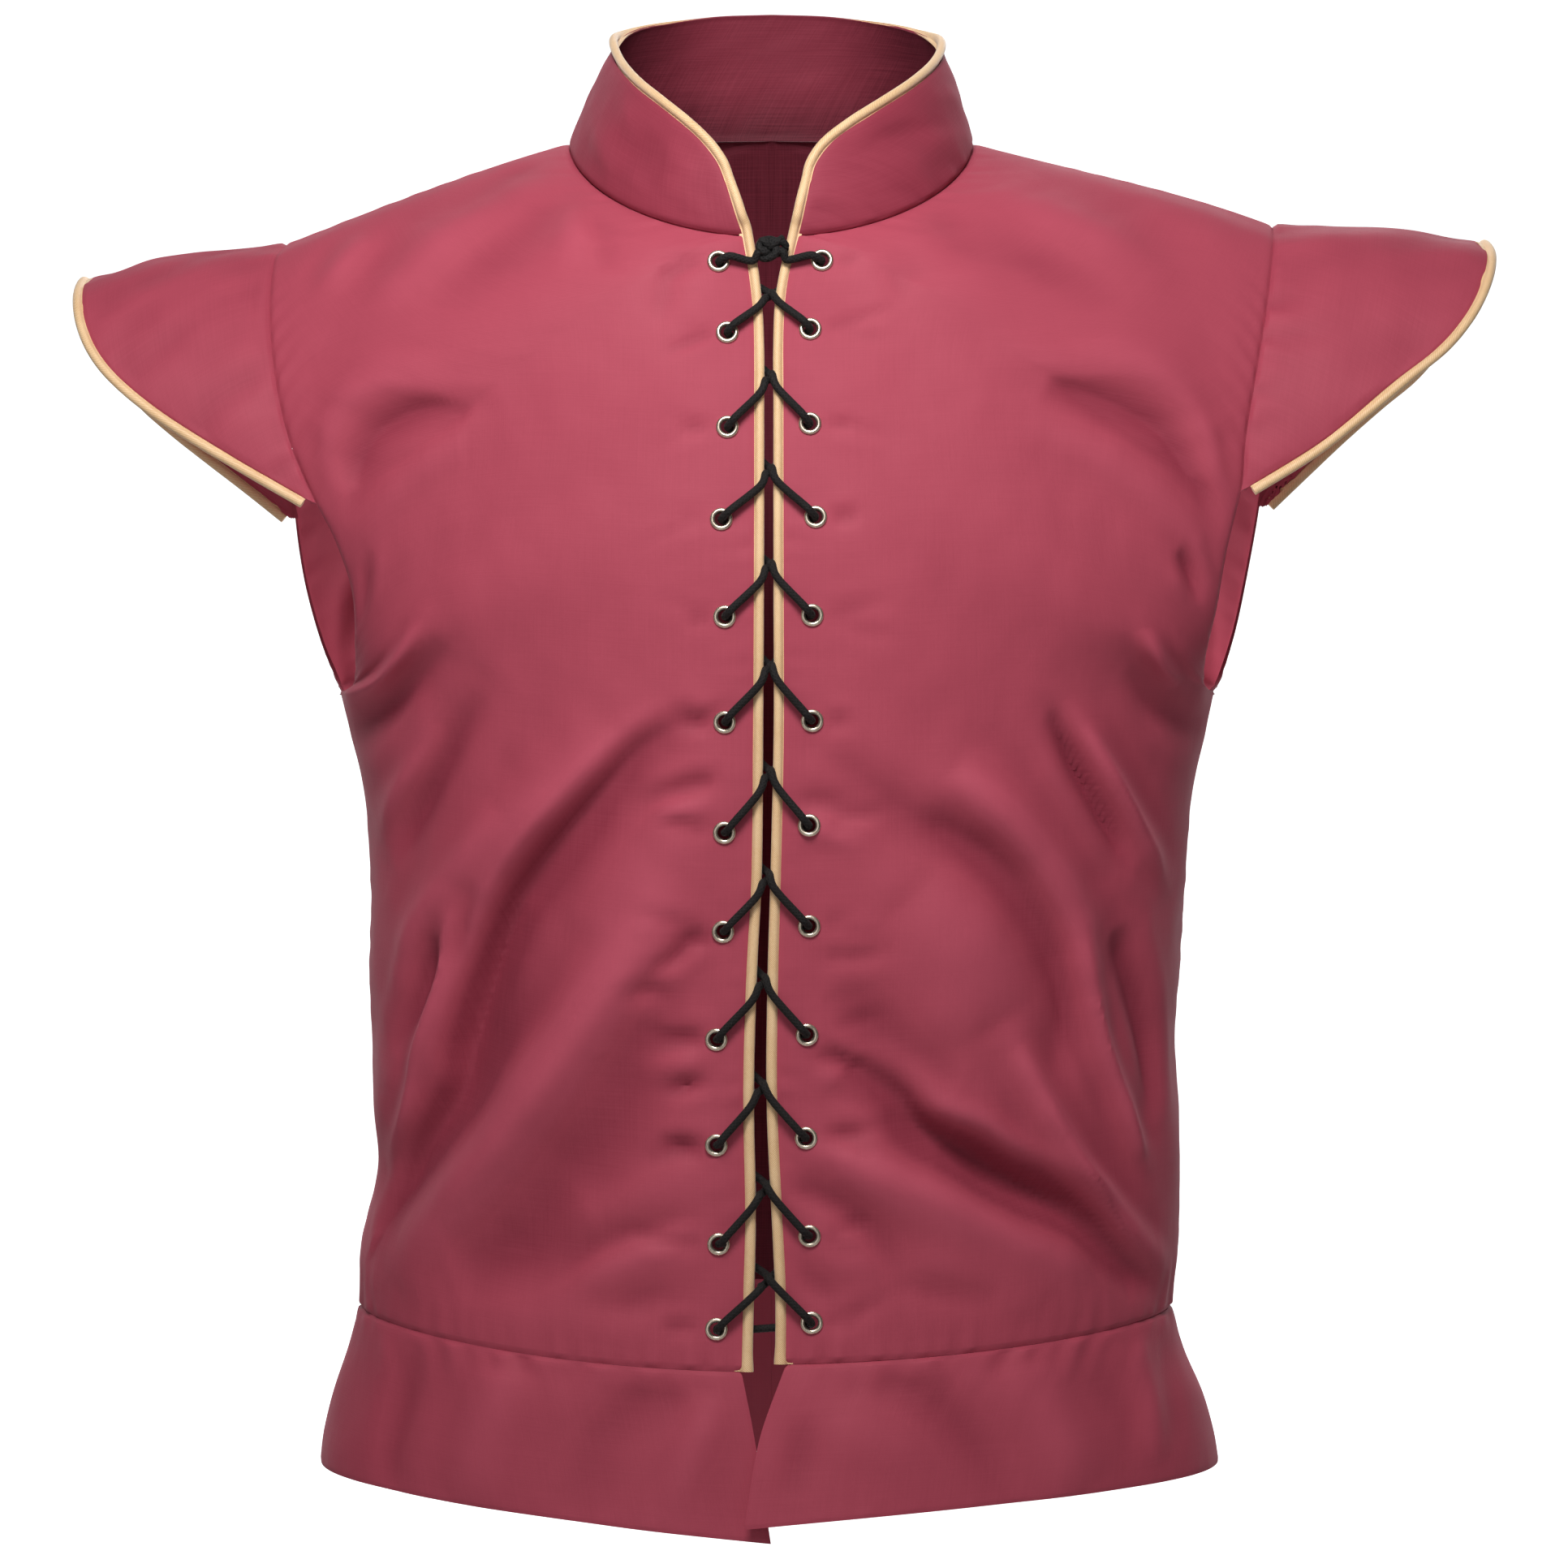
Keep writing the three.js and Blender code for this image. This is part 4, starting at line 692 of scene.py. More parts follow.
class Cloth:
    """A piece of cloth as a grid of points, with the heights of its folds."""

    def __init__(self, points: np.ndarray, flip: float) -> None:
        """Takes the smooth form.

        Args:
            points: Grid of points, rows going up and columns going across.
            flip: 1 or -1, which turns the normals outwards.
        """
        self.base = points
        self.flip = flip
        self.height = np.zeros(points.shape[:2])
        self.normals = self.facing(points)
        across = np.linalg.norm(np.diff(points, axis=1), axis=2)
        upward = np.linalg.norm(np.diff(points, axis=0), axis=2)
        self.u = np.pad(np.cumsum(across, axis=1), ((0, 0), (1, 0)))
        self.v = np.pad(np.cumsum(upward, axis=0), ((1, 0), (0, 0)))

    def facing(self, points: np.ndarray) -> np.ndarray:
        """Outward normals of a grid."""
        across = np.gradient(points, axis=1)
        upward = np.gradient(points, axis=0)
        return unit(np.cross(across, upward) * self.flip)

    def square_middle(self, rows: np.ndarray) -> None:
        """Keeps both halves of a piece together where they meet down the middle."""
        self.normals[rows, 0, 0] = 0
        self.normals[:, 0] = unit(self.normals[:, 0])

    def from_edge(self, edge: Edge) -> tuple[np.ndarray, np.ndarray]:
        """Distance of each point from an edge, and its way along that edge."""
        if edge is Edge.START:
            return self.u, self.v
        if edge is Edge.END:
            return self.u[:, -1:] - self.u, self.v
        if edge is Edge.BOTTOM:
            return self.v, self.u
        return self.v[-1:] - self.v, self.u

    def locate(self, run: Sequence[tuple[float, float]]) -> np.ndarray:
        """Finds points seen straight on, as ways across and up the cloth.

        Args:
            run: Points as x and z.

        Returns:
            Ways across and up, one row each.
        """
        spots = []
        for x, z in run:
            apart = np.hypot(self.base[..., 0] - x, self.base[..., 2] - z)
            row, column = np.unravel_index(np.argmin(apart), apart.shape)
            spots.append((self.u[row, column], self.v[row, column]))
        return np.array(spots)

    def crease(self, creases: Sequence[Crease], fade: np.ndarray | float = 1.0) -> None:
        """Adds the given creases, faded towards the sewn edges."""
        for one in creases:
            self.height += one.height(self.u, self.v, self.locate(one.run)) * fade

    def fade(self, reach: dict[Edge, float]) -> np.ndarray:
        """A field that falls to 0 at some edges.

        Args:
            reach: Distance from each edge over which it rises to 1.

        Returns:
            Values from 0 to 1.
        """
        value = np.ones_like(self.height)
        for edge, distance in reach.items():
            value *= smooth_step(self.from_edge(edge)[0], 0, distance)
        return value

    def ripple(self, size: float, wave: float, seed: int) -> np.ndarray:
        """A gentle uneven swell.

        Args:
            size: Height of the swell.
            wave: Usual distance between crests.
            seed: Picks the pattern.

        Returns:
            A height for each point.
        """
        dice = np.random.RandomState(seed)
        value = np.zeros_like(self.height)
        for _ in range(7):
            turn = dice.uniform(0, 2 * math.pi)
            pace = 2 * math.pi / (wave * dice.uniform(0.7, 1.5))
            start = dice.uniform(0, 2 * math.pi)
            value += np.sin(pace * (self.u * math.cos(turn) + self.v * math.sin(turn)) + start)
        return size * value / 3.2

    def pucker(self, edge: Edge, size: float, wave: float, reach: float, seed: int,
               where: np.ndarray | float = 1.0) -> None:
        """Gathers the cloth a little along a sewn edge.

        Args:
            edge: The sewn edge.
            size: Height of the gathers.
            wave: Usual distance between them.
            reach: How far they run into the cloth.
            seed: Picks the pattern.
            where: Share of the size at each point.
        """
        distance, along = self.from_edge(edge)
        dice = np.random.RandomState(seed)
        value = np.zeros_like(self.height)
        for _ in range(5):
            pace = 2 * math.pi / (wave * dice.uniform(0.6, 1.7))
            start = dice.uniform(0, 2 * math.pi)
            lean = dice.uniform(-0.35, 0.35)
            value += np.sin(pace * (along + lean * distance) + start)
        swell = 0.65 + 0.35 * np.sin(along / (3.1 * wave) + seed)
        fall = np.exp(-distance / reach) * smooth_step(distance, 0.4, 2.4)
        self.height += size * value / 2.6 * swell * fall * where

    def roll(self, edge: Edge, depth: float, width: float,
             where: np.ndarray | float = 1.0) -> None:
        """Turns the cloth down into a seam or round a folded edge."""
        distance, _ = self.from_edge(edge)
        self.height -= depth * np.exp(-((distance / width) ** 2)) * where

    def outer(self) -> np.ndarray:
        """Points of the outside, folds raised."""
        return self.base + self.normals * self.height[..., None]

    def relief(self, passes: int = 24) -> np.ndarray:
        """Height of the folds from -1 to 1, with the narrow ones made stronger; it sets their
        painted highlight and shade.
        """
        broad = self.height
        for _ in range(passes):
            near = np.pad(broad, 1, mode="edge")
            broad = (near[:-2, 1:-1] + near[2:, 1:-1] + near[1:-1, :-2] + near[1:-1, 2:]) / 4
        return np.clip(self.height / 10 + (self.height - broad) / 7, -1, 1)

    def build(self, name: str, turn: Callable[[np.ndarray], None] | None = None,
              inside: np.ndarray | float = 0.0, outside: float = 0.0) -> bpy.types.Object:
        """Makes the piece's thin closed wall.

        Args:
            name: Name of the piece.
            turn: Changes the wall's directions in place at the sewn edges.
            inside: Painted shading of the inside, from -2 for painted shade to 2 for painted
                light.
            outside: Painted shading added to that of the outside's folds.

        Returns:
            The new object.
        """
        outer = self.outer()
        ways = self.facing(outer)
        if turn is not None:
            turn(ways)
        inner = outer - ways * CLOTH_WALL
        rows, columns = self.height.shape
        count = rows * columns
        index = np.arange(count).reshape(rows, columns)
        a, b = index[:-1, :-1], index[:-1, 1:]
        c, d = index[1:, 1:], index[1:, :-1]
        quads = [np.stack([a, b, c, d], -1).reshape(-1, 4),
                 np.stack([a, d, c, b], -1).reshape(-1, 4) + count]
        rim = np.concatenate([index[0, :], index[1:, -1], index[-1, -2::-1], index[-2:0:-1, 0]])
        after = np.roll(rim, -1)
        quads.append(np.stack([rim, rim + count, after + count, after], -1))
        faces = np.vstack(quads)
        if self.flip < 0:
            faces = faces[:, ::-1]
        spots = np.vstack([outer.reshape(-1, 3), inner.reshape(-1, 3)]) * MM
        u = np.concatenate([self.u.ravel()] * 2) * MM
        v = np.concatenate([self.v.ravel()] * 2) * MM
        piece = mesh_object(name, spots, faces, np.stack([u, v], -1))
        # Painted light and shade: the folds' relief lightens ridges and darkens troughs outside,
        # and the inside gets a flat painted tint.
        painted_shading = [self.relief() + outside, np.zeros(self.height.shape) + inside]
        values = np.stack(painted_shading).ravel()
        held = piece.data.attributes.new("relief", "FLOAT", "POINT")
        held.data.foreach_set("value", values.astype(np.float32))
        smooth_by_angle(piece, 60)
        return piece


def mesh_object(name: str, spots: np.ndarray, faces: np.ndarray,
                uv: np.ndarray) -> bpy.types.Object:
    """Makes an object from points, faces and a flat place for each point.

    Args:
        name: Name of the object.
        spots: Points in metres.
        faces: Corner indices, one row a face.
        uv: Flat place of each point in metres.

    Returns:
        The new object, linked to the scene.
    """
    mesh = bpy.data.meshes.new(name)
    mesh.from_pydata(spots.tolist(), [], faces.tolist())
    layer = mesh.uv_layers.new(name="UVMap")
    corner = np.zeros(len(mesh.loops), np.int32)
    mesh.loops.foreach_get("vertex_index", corner)
    layer.data.foreach_set("uv", uv[corner].astype(np.float32).ravel())
    mesh.validate()
    piece = bpy.data.objects.new(name, mesh)
    bpy.context.scene.collection.objects.link(piece)
    return piece


def only(piece: bpy.types.Object) -> None:
    """Selects one object alone and makes it active."""
    bpy.ops.object.select_all(action="DESELECT")
    piece.select_set(True)
    bpy.context.view_layer.objects.active = piece


def smooth_by_angle(piece: bpy.types.Object, degrees: float) -> None:
    """Shades a piece smooth but for edges sharper than an angle."""
    only(piece)
    bpy.ops.object.shade_smooth_by_angle(angle=math.radians(degrees))


def apply_modifier(piece: bpy.types.Object, kind: str, **settings: object) -> None:
    """Adds a modifier to a piece and applies it.

    Args:
        piece: The piece.
        kind: Blender's name of the modifier.
        **settings: Values of the modifier.
    """
    only(piece)
    modifier = piece.modifiers.new(kind.title(), kind)
    for name, value in settings.items():
        setattr(modifier, name, value)
    bpy.ops.object.modifier_apply(modifier=modifier.name)


def dress(piece: bpy.types.Object, material: bpy.types.Material, slot: str,
          *nodes: str) -> None:
    """Gives a piece its finish and its place in the part.

    Args:
        piece: The piece.
        material: Its finish.
        slot: The record's material slot; not used.
        *nodes: Solids that it stands for.
    """
    piece.data.materials.clear()
    piece.data.materials.append(material)
    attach(piece, "root")
    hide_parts(*nodes)
    LOG.info("%s: %d faces", piece.name, len(piece.data.polygons))


def join_halves(halves: Sequence[bpy.types.Object], name: str) -> bpy.types.Object:
    """Joins both halves of a piece and closes it down the middle."""
    only(halves[0])
    halves[1].select_set(True)
    bpy.ops.object.join()
    piece = bpy.context.object
    piece.name = name
    piece.data.name = name
    close_middle(piece)
    return piece


def close_middle(piece: bpy.types.Object) -> None:
    """Takes out the two walls that meet down the middle and welds the halves."""
    only(piece)
    bpy.ops.object.mode_set(mode="EDIT")
    bpy.ops.mesh.select_mode(type="FACE")
    bpy.ops.mesh.select_all(action="DESELECT")
    bpy.ops.object.mode_set(mode="OBJECT")
    middle = NECK.middle_x * MM
    top = NECK.points(Side.LEFT, np.array([math.pi]))[0][2] * MM
    for face in piece.data.polygons:
        spots = [piece.data.vertices[i].co for i in face.vertices]
        flat = all(abs(spot.x - middle) < WELD for spot in spots)
        face.select = flat and all(spot.z < top + 2 * MM for spot in spots)
    bpy.ops.object.mode_set(mode="EDIT")
    bpy.ops.mesh.delete(type="FACE")
    bpy.ops.mesh.select_all(action="SELECT")
    bpy.ops.mesh.remove_doubles(threshold=WELD)
    bpy.ops.object.mode_set(mode="OBJECT")
    smooth_by_angle(piece, 60)


def swept(name: str, line: np.ndarray, toward: np.ndarray | None, ring: np.ndarray,
          scale: np.ndarray | None = None, closed: bool = False) -> bpy.types.Object:
    """Makes a cord by carrying a ring along a line.

    Args:
        name: Name of the object.
        line: Middle points in millimetres.
        toward: Direction of the ring's first axis at each point, or None to carry one along.
        ring: Points of the ring, across its two axes.
        scale: Size of the ring at each point.
        closed: Whether the line ends where it starts.

    Returns:
        The new object.
    """
    along = np.gradient(line, axis=0)
    if closed:
        along = np.roll(line, -1, axis=0) - np.roll(line, 1, axis=0)
    along = unit(along)
    if toward is None:
        toward = np.zeros_like(line)
        first = np.cross(along[0], (0.3, 0.2, 1.0))
        toward[0] = unit(first)
        for i in range(1, len(line)):
            carried = toward[i - 1] - along[i] * np.dot(toward[i - 1], along[i])
            toward[i] = unit(carried)
    else:
        toward = unit(toward - along * np.sum(toward * along, axis=1, keepdims=True))
    second = np.cross(along, toward)
    size = np.ones(len(line)) if scale is None else scale
    spots = (line[:, None] + size[:, None, None] * (
        ring[None, :, :1] * toward[:, None] + ring[None, :, 1:] * second[:, None]))
    count, sides = spots.shape[:2]
    index = np.arange(count * sides).reshape(count, sides)
    if closed:
        here, there = index, np.roll(index, -1, axis=0)
    else:
        here, there = index[:-1], index[1:]
    turned, ahead = np.roll(here, -1, axis=1), np.roll(there, -1, axis=1)
    faces = np.stack([here, turned, ahead, there], -1).reshape(-1, 4)
    mesh = bpy.data.meshes.new(name)
    rows = faces.tolist()
    if not closed:
        rows += [index[0, ::-1].tolist(), index[-1].tolist()]
    mesh.from_pydata((spots.reshape(-1, 3) * MM).tolist(), [], rows)
    steps = np.linalg.norm(np.diff(line, axis=0), axis=1)
    length = np.concatenate([[0], np.cumsum(steps)])
    side = np.linalg.norm(np.roll(ring, -1, axis=0) - ring, axis=1)
    girth = np.concatenate([[0], np.cumsum(side)])
    layer = mesh.uv_layers.new(name="UVMap")
    quads = len(faces)
    column = np.tile(np.arange(sides), quads // sides)
    row = np.repeat(np.arange(quads // sides), sides)
    step = np.append(length, length[-1] + (steps[-1] if closed else 0))
    flat = np.stack([
        np.stack([step[row], girth[column]], -1),
        np.stack([step[row], girth[column + 1]], -1),
        np.stack([step[row + 1], girth[column + 1]], -1),
        np.stack([step[row + 1], girth[column]], -1),
    ], axis=1).reshape(-1, 2) * MM
    values = np.zeros((len(mesh.loops), 2), np.float32)
    values[: len(flat)] = flat
    layer.data.foreach_set("uv", values.ravel())
    piece = bpy.data.objects.new(name, mesh)
    bpy.context.scene.collection.objects.link(piece)
    smooth_by_angle(piece, 50)
    return piece


def circle(radius: float, sides: int) -> np.ndarray:
    """A round ring."""
    angle = np.arange(sides) * 2 * math.pi / sides
    return radius * np.stack([np.cos(angle), np.sin(angle)], axis=-1)


class Shader:
    """Writes the nodes of one finish."""

    def __init__(self, name: str) -> None:
        """Starts an empty finish with its surface shader."""
        self.material = bpy.data.materials.new(name)
        self.material.use_nodes = True
        self.tree = self.material.node_tree
        self.surface = self.tree.nodes["Principled BSDF"]

    def node(self, kind: str, **settings: object) -> bpy.types.Node:
        """Adds a node.

        Args:
            kind: Its type.
            **settings: Its settings, or values of sockets with spaces as underscores.

        Returns:
            The node.
        """
        made = self.tree.nodes.new(kind)
        for name, value in settings.items():
            if hasattr(made, name):
                setattr(made, name, value)
            else:
                made.inputs[name.replace("_", " ")].default_value = value
        return made

    def join(self, source: bpy.types.NodeSocket, target: bpy.types.NodeSocket) -> None:
        """Links one socket to another."""
        self.tree.links.new(source, target)

    def math(self, operation: str, first: object, second: object = 0.0) -> bpy.types.NodeSocket:
        """Combines two numbers or sockets.

        Args:
            operation: What to do with them.
            first: A number or socket.
            second: A number or socket.

        Returns:
            The result.
        """
        made = self.tree.nodes.new("ShaderNodeMath")
        made.operation = operation
        for i, value in enumerate((first, second)):
            if isinstance(value, (int, float)):
                made.inputs[i].default_value = value
            else:
                self.join(value, made.inputs[i])
        return made.outputs[0]

    def mix(self, share: object, first: object, second: object,
            blend: str = "MIX") -> bpy.types.NodeSocket:
        """Mixes two colours.

        Args:
            share: How much of the second, a number or socket.
            first: A colour or socket.
            second: A colour or socket.
            blend: How they mix.

        Returns:
            The mixed colour.
        """
        made = self.tree.nodes.new("ShaderNodeMix")
        made.data_type = "RGBA"
        made.blend_type = blend
        for i, value in ((0, share), (6, first), (7, second)):
            if isinstance(value, bpy.types.NodeSocket):
                self.join(value, made.inputs[i])
            else:
                made.inputs[i].default_value = value
        return made.outputs[2]

    def noise(self, place: bpy.types.NodeSocket, scale: Sequence[float], detail: float,
              rough: float = 0.55) -> bpy.types.NodeSocket:
        """A noise field.

        Args:
            place: Coordinates that it reads.
            scale: Its fineness in three directions.
            detail: Layers of finer noise.
            rough: Weight of the finer layers.

        Returns:
            Values round a half.
        """
        moved = self.node("ShaderNodeMapping", Scale=scale)
        self.join(place, moved.inputs["Vector"])
        made = self.node("ShaderNodeTexNoise", Scale=1.0, Detail=detail, Roughness=rough)
        self.join(moved.outputs[0], made.inputs["Vector"])
        return made.outputs["Fac"]

    def range(self, value: bpy.types.NodeSocket, low: float, high: float, to_low: float,
              to_high: float) -> bpy.types.NodeSocket:
        """Maps a span of values onto another, and holds it there."""
        made = self.node("ShaderNodeMapRange")
        self.join(value, made.inputs[0])
        for i, number in enumerate((low, high, to_low, to_high), 1):
            made.inputs[i].default_value = number
        return made.outputs[0]

    def bump(self, height: bpy.types.NodeSocket, strength: float, depth: float,
             under: bpy.types.NodeSocket | None = None) -> bpy.types.NodeSocket:
        """Turns a height into a normal.

        Args:
            height: The height field.
            strength: Share of it.
            depth: Its full height in metres.
            under: A normal that it lies on.

        Returns:
            The normal.
        """
        made = self.node("ShaderNodeBump", Strength=strength, Distance=depth)
        self.join(height, made.inputs["Height"])
        if under is not None:
            self.join(under, made.inputs["Normal"])
        return made.outputs[0]

    def finish(self, colour: bpy.types.NodeSocket, roughness: bpy.types.NodeSocket,
               normal: bpy.types.NodeSocket, **fixed: object) -> bpy.types.Material:
        """Joins the fields to the surface and sets its fixed values.

        Args:
            colour: Base colour.
            roughness: Roughness.
            normal: Normal.
            **fixed: Values of other sockets, spaces as underscores.

        Returns:
            The material.
        """
        self.join(colour, self.surface.inputs["Base Color"])
        self.join(roughness, self.surface.inputs["Roughness"])
        self.join(normal, self.surface.inputs["Normal"])
        for name, value in fixed.items():
            self.surface.inputs[name.replace("_", " ")].default_value = value
        return self.material


def linear(red: float, green: float, blue: float) -> tuple[float, float, float, float]:
    """A screen colour from 0 to 255 as a linear one."""
    parts = []
    for value in (red / 255, green / 255, blue / 255):
        parts.append(value / 12.92 if value <= 0.04045 else ((value + 0.055) / 1.055) ** 2.4)
    return (*parts, 1.0)


@dataclass(frozen=True)
class ClothFinish:
    """Smooth closely woven cloth with a soft sheen.

    Attributes:
        name: Name of the finish.
        body: Usual colour.
        ridge: Painted highlight on the ridges of the folds, also the lighter tone of the thread
            slubs.
        trough: Painted shade deep in the folds, also the darker tone of the mottling.
        shade: Painted shade far inside.
        pale: Painted light on the inside near the arms.
        pitch: Distance between threads in metres.
    """

    name: str
    body: tuple[float, float, float, float] = linear(176, 72, 90)
    ridge: tuple[float, float, float, float] = linear(198, 88, 108)
    trough: tuple[float, float, float, float] = linear(128, 40, 58)
    shade: tuple[float, float, float, float] = linear(70, 16, 28)
    pale: tuple[float, float, float, float] = linear(252, 176, 196)
    pitch: float = 0.00042

    def material(self) -> bpy.types.Material:
        """Makes the finish."""
        shader = Shader(self.name)
        flat = shader.node("ShaderNodeUVMap", uv_map="UVMap").outputs[0]
        place = shader.node("ShaderNodeTexCoord").outputs["Object"]
        relief = shader.node("ShaderNodeAttribute", attribute_name="relief").outputs["Fac"]
        # Painted light and shade from relief: highlight on fold ridges, shade in troughs, deep
        # shade far inside, pale light inside near the arms.
        up = shader.range(relief, 0.05, 0.75, 0, 0.55)
        down = shader.range(relief, -0.05, -0.9, 0, 0.65)
        colour = shader.mix(up, self.body, self.ridge)
        colour = shader.mix(down, colour, self.trough)
        colour = shader.mix(shader.range(relief, -1, -2, 0, 1), colour, self.shade)
        colour = shader.mix(shader.range(relief, 1, 2, 0, 1), colour, self.pale)
        mottle = shader.noise(place, (14, 14, 14), 3)
        colour = shader.mix(shader.range(mottle, 0.3, 0.7, 0, 0.16), colour, self.trough)
        warp = shader.noise(flat, (1500, 22, 1), 2, 0.7)
        weft = shader.noise(flat, (22, 1500, 1), 2, 0.7)
        threads = shader.math("MULTIPLY", shader.math("ADD", warp, weft), 0.5)
        colour = shader.mix(shader.range(threads, 0.38, 0.62, 0, 0.14), colour, self.ridge)
        waves = []
        for way in ("X", "Y"):
            made = shader.node("ShaderNodeTexWave", wave_type="BANDS", bands_direction=way,
                               Scale=0.314 / self.pitch, Distortion=0.6, Detail=1.0)
            shader.join(flat, made.inputs["Vector"])
            waves.append(made.outputs["Fac"])
        weave = shader.math("MULTIPLY", waves[0], waves[1])
        fine = shader.bump(weave, 0.35, 0.00006)
        slubs = shader.bump(threads, 0.3, 0.00022, fine)
        swell = shader.noise(place, (70, 70, 45), 3, 0.6)
        soft = shader.bump(swell, 0.25, 0.0011, slubs)
        rough = shader.range(mottle, 0.3, 0.7, 0.6, 0.72)
        return shader.finish(
            colour, rough, soft,
            Sheen_Weight=0.14, Sheen_Roughness=0.45, Sheen_Tint=linear(232, 120, 146),
            Specular_IOR_Level=0.2,
        )


@dataclass(frozen=True)
class CordFinish:
    """Satin or braid wrapped round a cord, with slanted threads.

    Attributes:
        name: Name of the finish.
        light: Painted highlight on the threads' crowns, also the lighter tone of worn patches.
        dark: Painted shade between the threads, also the darker tone of the fibres.
        pitch: Distance between threads in metres.
        slant: How far a thread runs along the cord for each way round it.
        braided: Whether a second set of threads crosses the first.
        relief: Height of the threads in metres.
        roughness: Usual roughness.
        sheen: Weight of the sheen.
    """

    name: str
    light: tuple[float, float, float, float]
    dark: tuple[float, float, float, float]
    pitch: float
    slant: float
    braided: bool
    relief: float
    roughness: float
    sheen: float

    def material(self) -> bpy.types.Material:
        """Makes the finish."""
        shader = Shader(self.name)
        flat = shader.node("ShaderNodeUVMap", uv_map="UVMap").outputs[0]
        place = shader.node("ShaderNodeTexCoord").outputs["Object"]
        split = shader.node("ShaderNodeSeparateXYZ")
        shader.join(flat, split.inputs[0])
        along, round_it = split.outputs[0], split.outputs[1]
        pace = 2 * math.pi / self.pitch

        def threads(slant: float) -> bpy.types.NodeSocket:
            """Height of one set of threads."""
            turned = shader.math("MULTIPLY", round_it, slant)
            wave = shader.math("SINE", shader.math("MULTIPLY", shader.math(
                "ADD", along, turned), pace))
            return shader.math("MULTIPLY", shader.math("ADD", wave, 1.0), 0.5)

        height = threads(self.slant)
        if self.braided:
            height = shader.math("MAXIMUM", height, threads(-self.slant))
        fibre = shader.noise(place, (900, 900, 900), 2, 0.6)
        # Painted shade between the threads and painted highlight on their crowns; fibre and wear
        # noise add the cord's own tone.
        colour = shader.mix(height, self.dark, self.light)
        colour = shader.mix(shader.range(fibre, 0.35, 0.7, 0, 0.35), colour, self.dark)
        worn = shader.noise(place, (60, 60, 60), 2)
        colour = shader.mix(shader.range(worn, 0.4, 0.75, 0, 0.3), colour, self.light)
        normal = shader.bump(height, 0.7, self.relief)
        normal = shader.bump(fibre, 0.3, 0.00008, normal)
        rough = shader.range(worn, 0.3, 0.7, self.roughness - 0.06, self.roughness + 0.08)
        return shader.finish(colour, rough, normal, Sheen_Weight=self.sheen,
                             Sheen_Roughness=0.4, Specular_IOR_Level=0.4)


@dataclass(frozen=True)
class NickelFinish:
    """Pale pressed nickel with fine rubbing marks."""

    name: str = "pale_nickel"
    metal: tuple[float, float, float, float] = linear(222, 208, 188)
    dull: tuple[float, float, float, float] = linear(160, 142, 122)

    def material(self) -> bpy.types.Material:
        """Makes the finish."""
        shader = Shader(self.name)
        place = shader.node("ShaderNodeTexCoord").outputs["Object"]
        stain = shader.noise(place, (420, 420, 420), 3)
        marks = shader.noise(place, (2600, 2600, 300), 2)
        colour = shader.mix(shader.range(stain, 0.4, 0.75, 0, 0.6), self.metal, self.dull)
        rough = shader.range(marks, 0.3, 0.7, 0.22, 0.4)
        normal = shader.bump(marks, 0.2, 0.00004)
        return shader.finish(colour, rough, normal, Metallic=0.9)


@dataclass(frozen=True)
class Finishes:
    """Every finish of the doublet, made once."""

    cloth: bpy.types.Material
    piping: bpy.types.Material
    nickel: bpy.types.Material
    lace: bpy.types.Material

    @classmethod
    def make(cls) -> "Finishes":
        """Makes them."""
        return cls(
            cloth=ClothFinish("raspberry_cloth").material(),
            piping=CordFinish(
                "gold_piping", light=linear(255, 224, 182), dark=linear(214, 164, 108),
                pitch=0.0009, slant=1.0, braided=False, relief=0.00007,
                roughness=0.46, sheen=0.3).material(),
            nickel=NickelFinish().material(),
            lace=CordFinish(
                "black_lace", light=linear(25, 21, 20), dark=linear(6, 5, 5),
                pitch=0.0021, slant=1.1, braided=True, relief=0.00035,
                roughness=0.8, sheen=0.03).material(),
        )


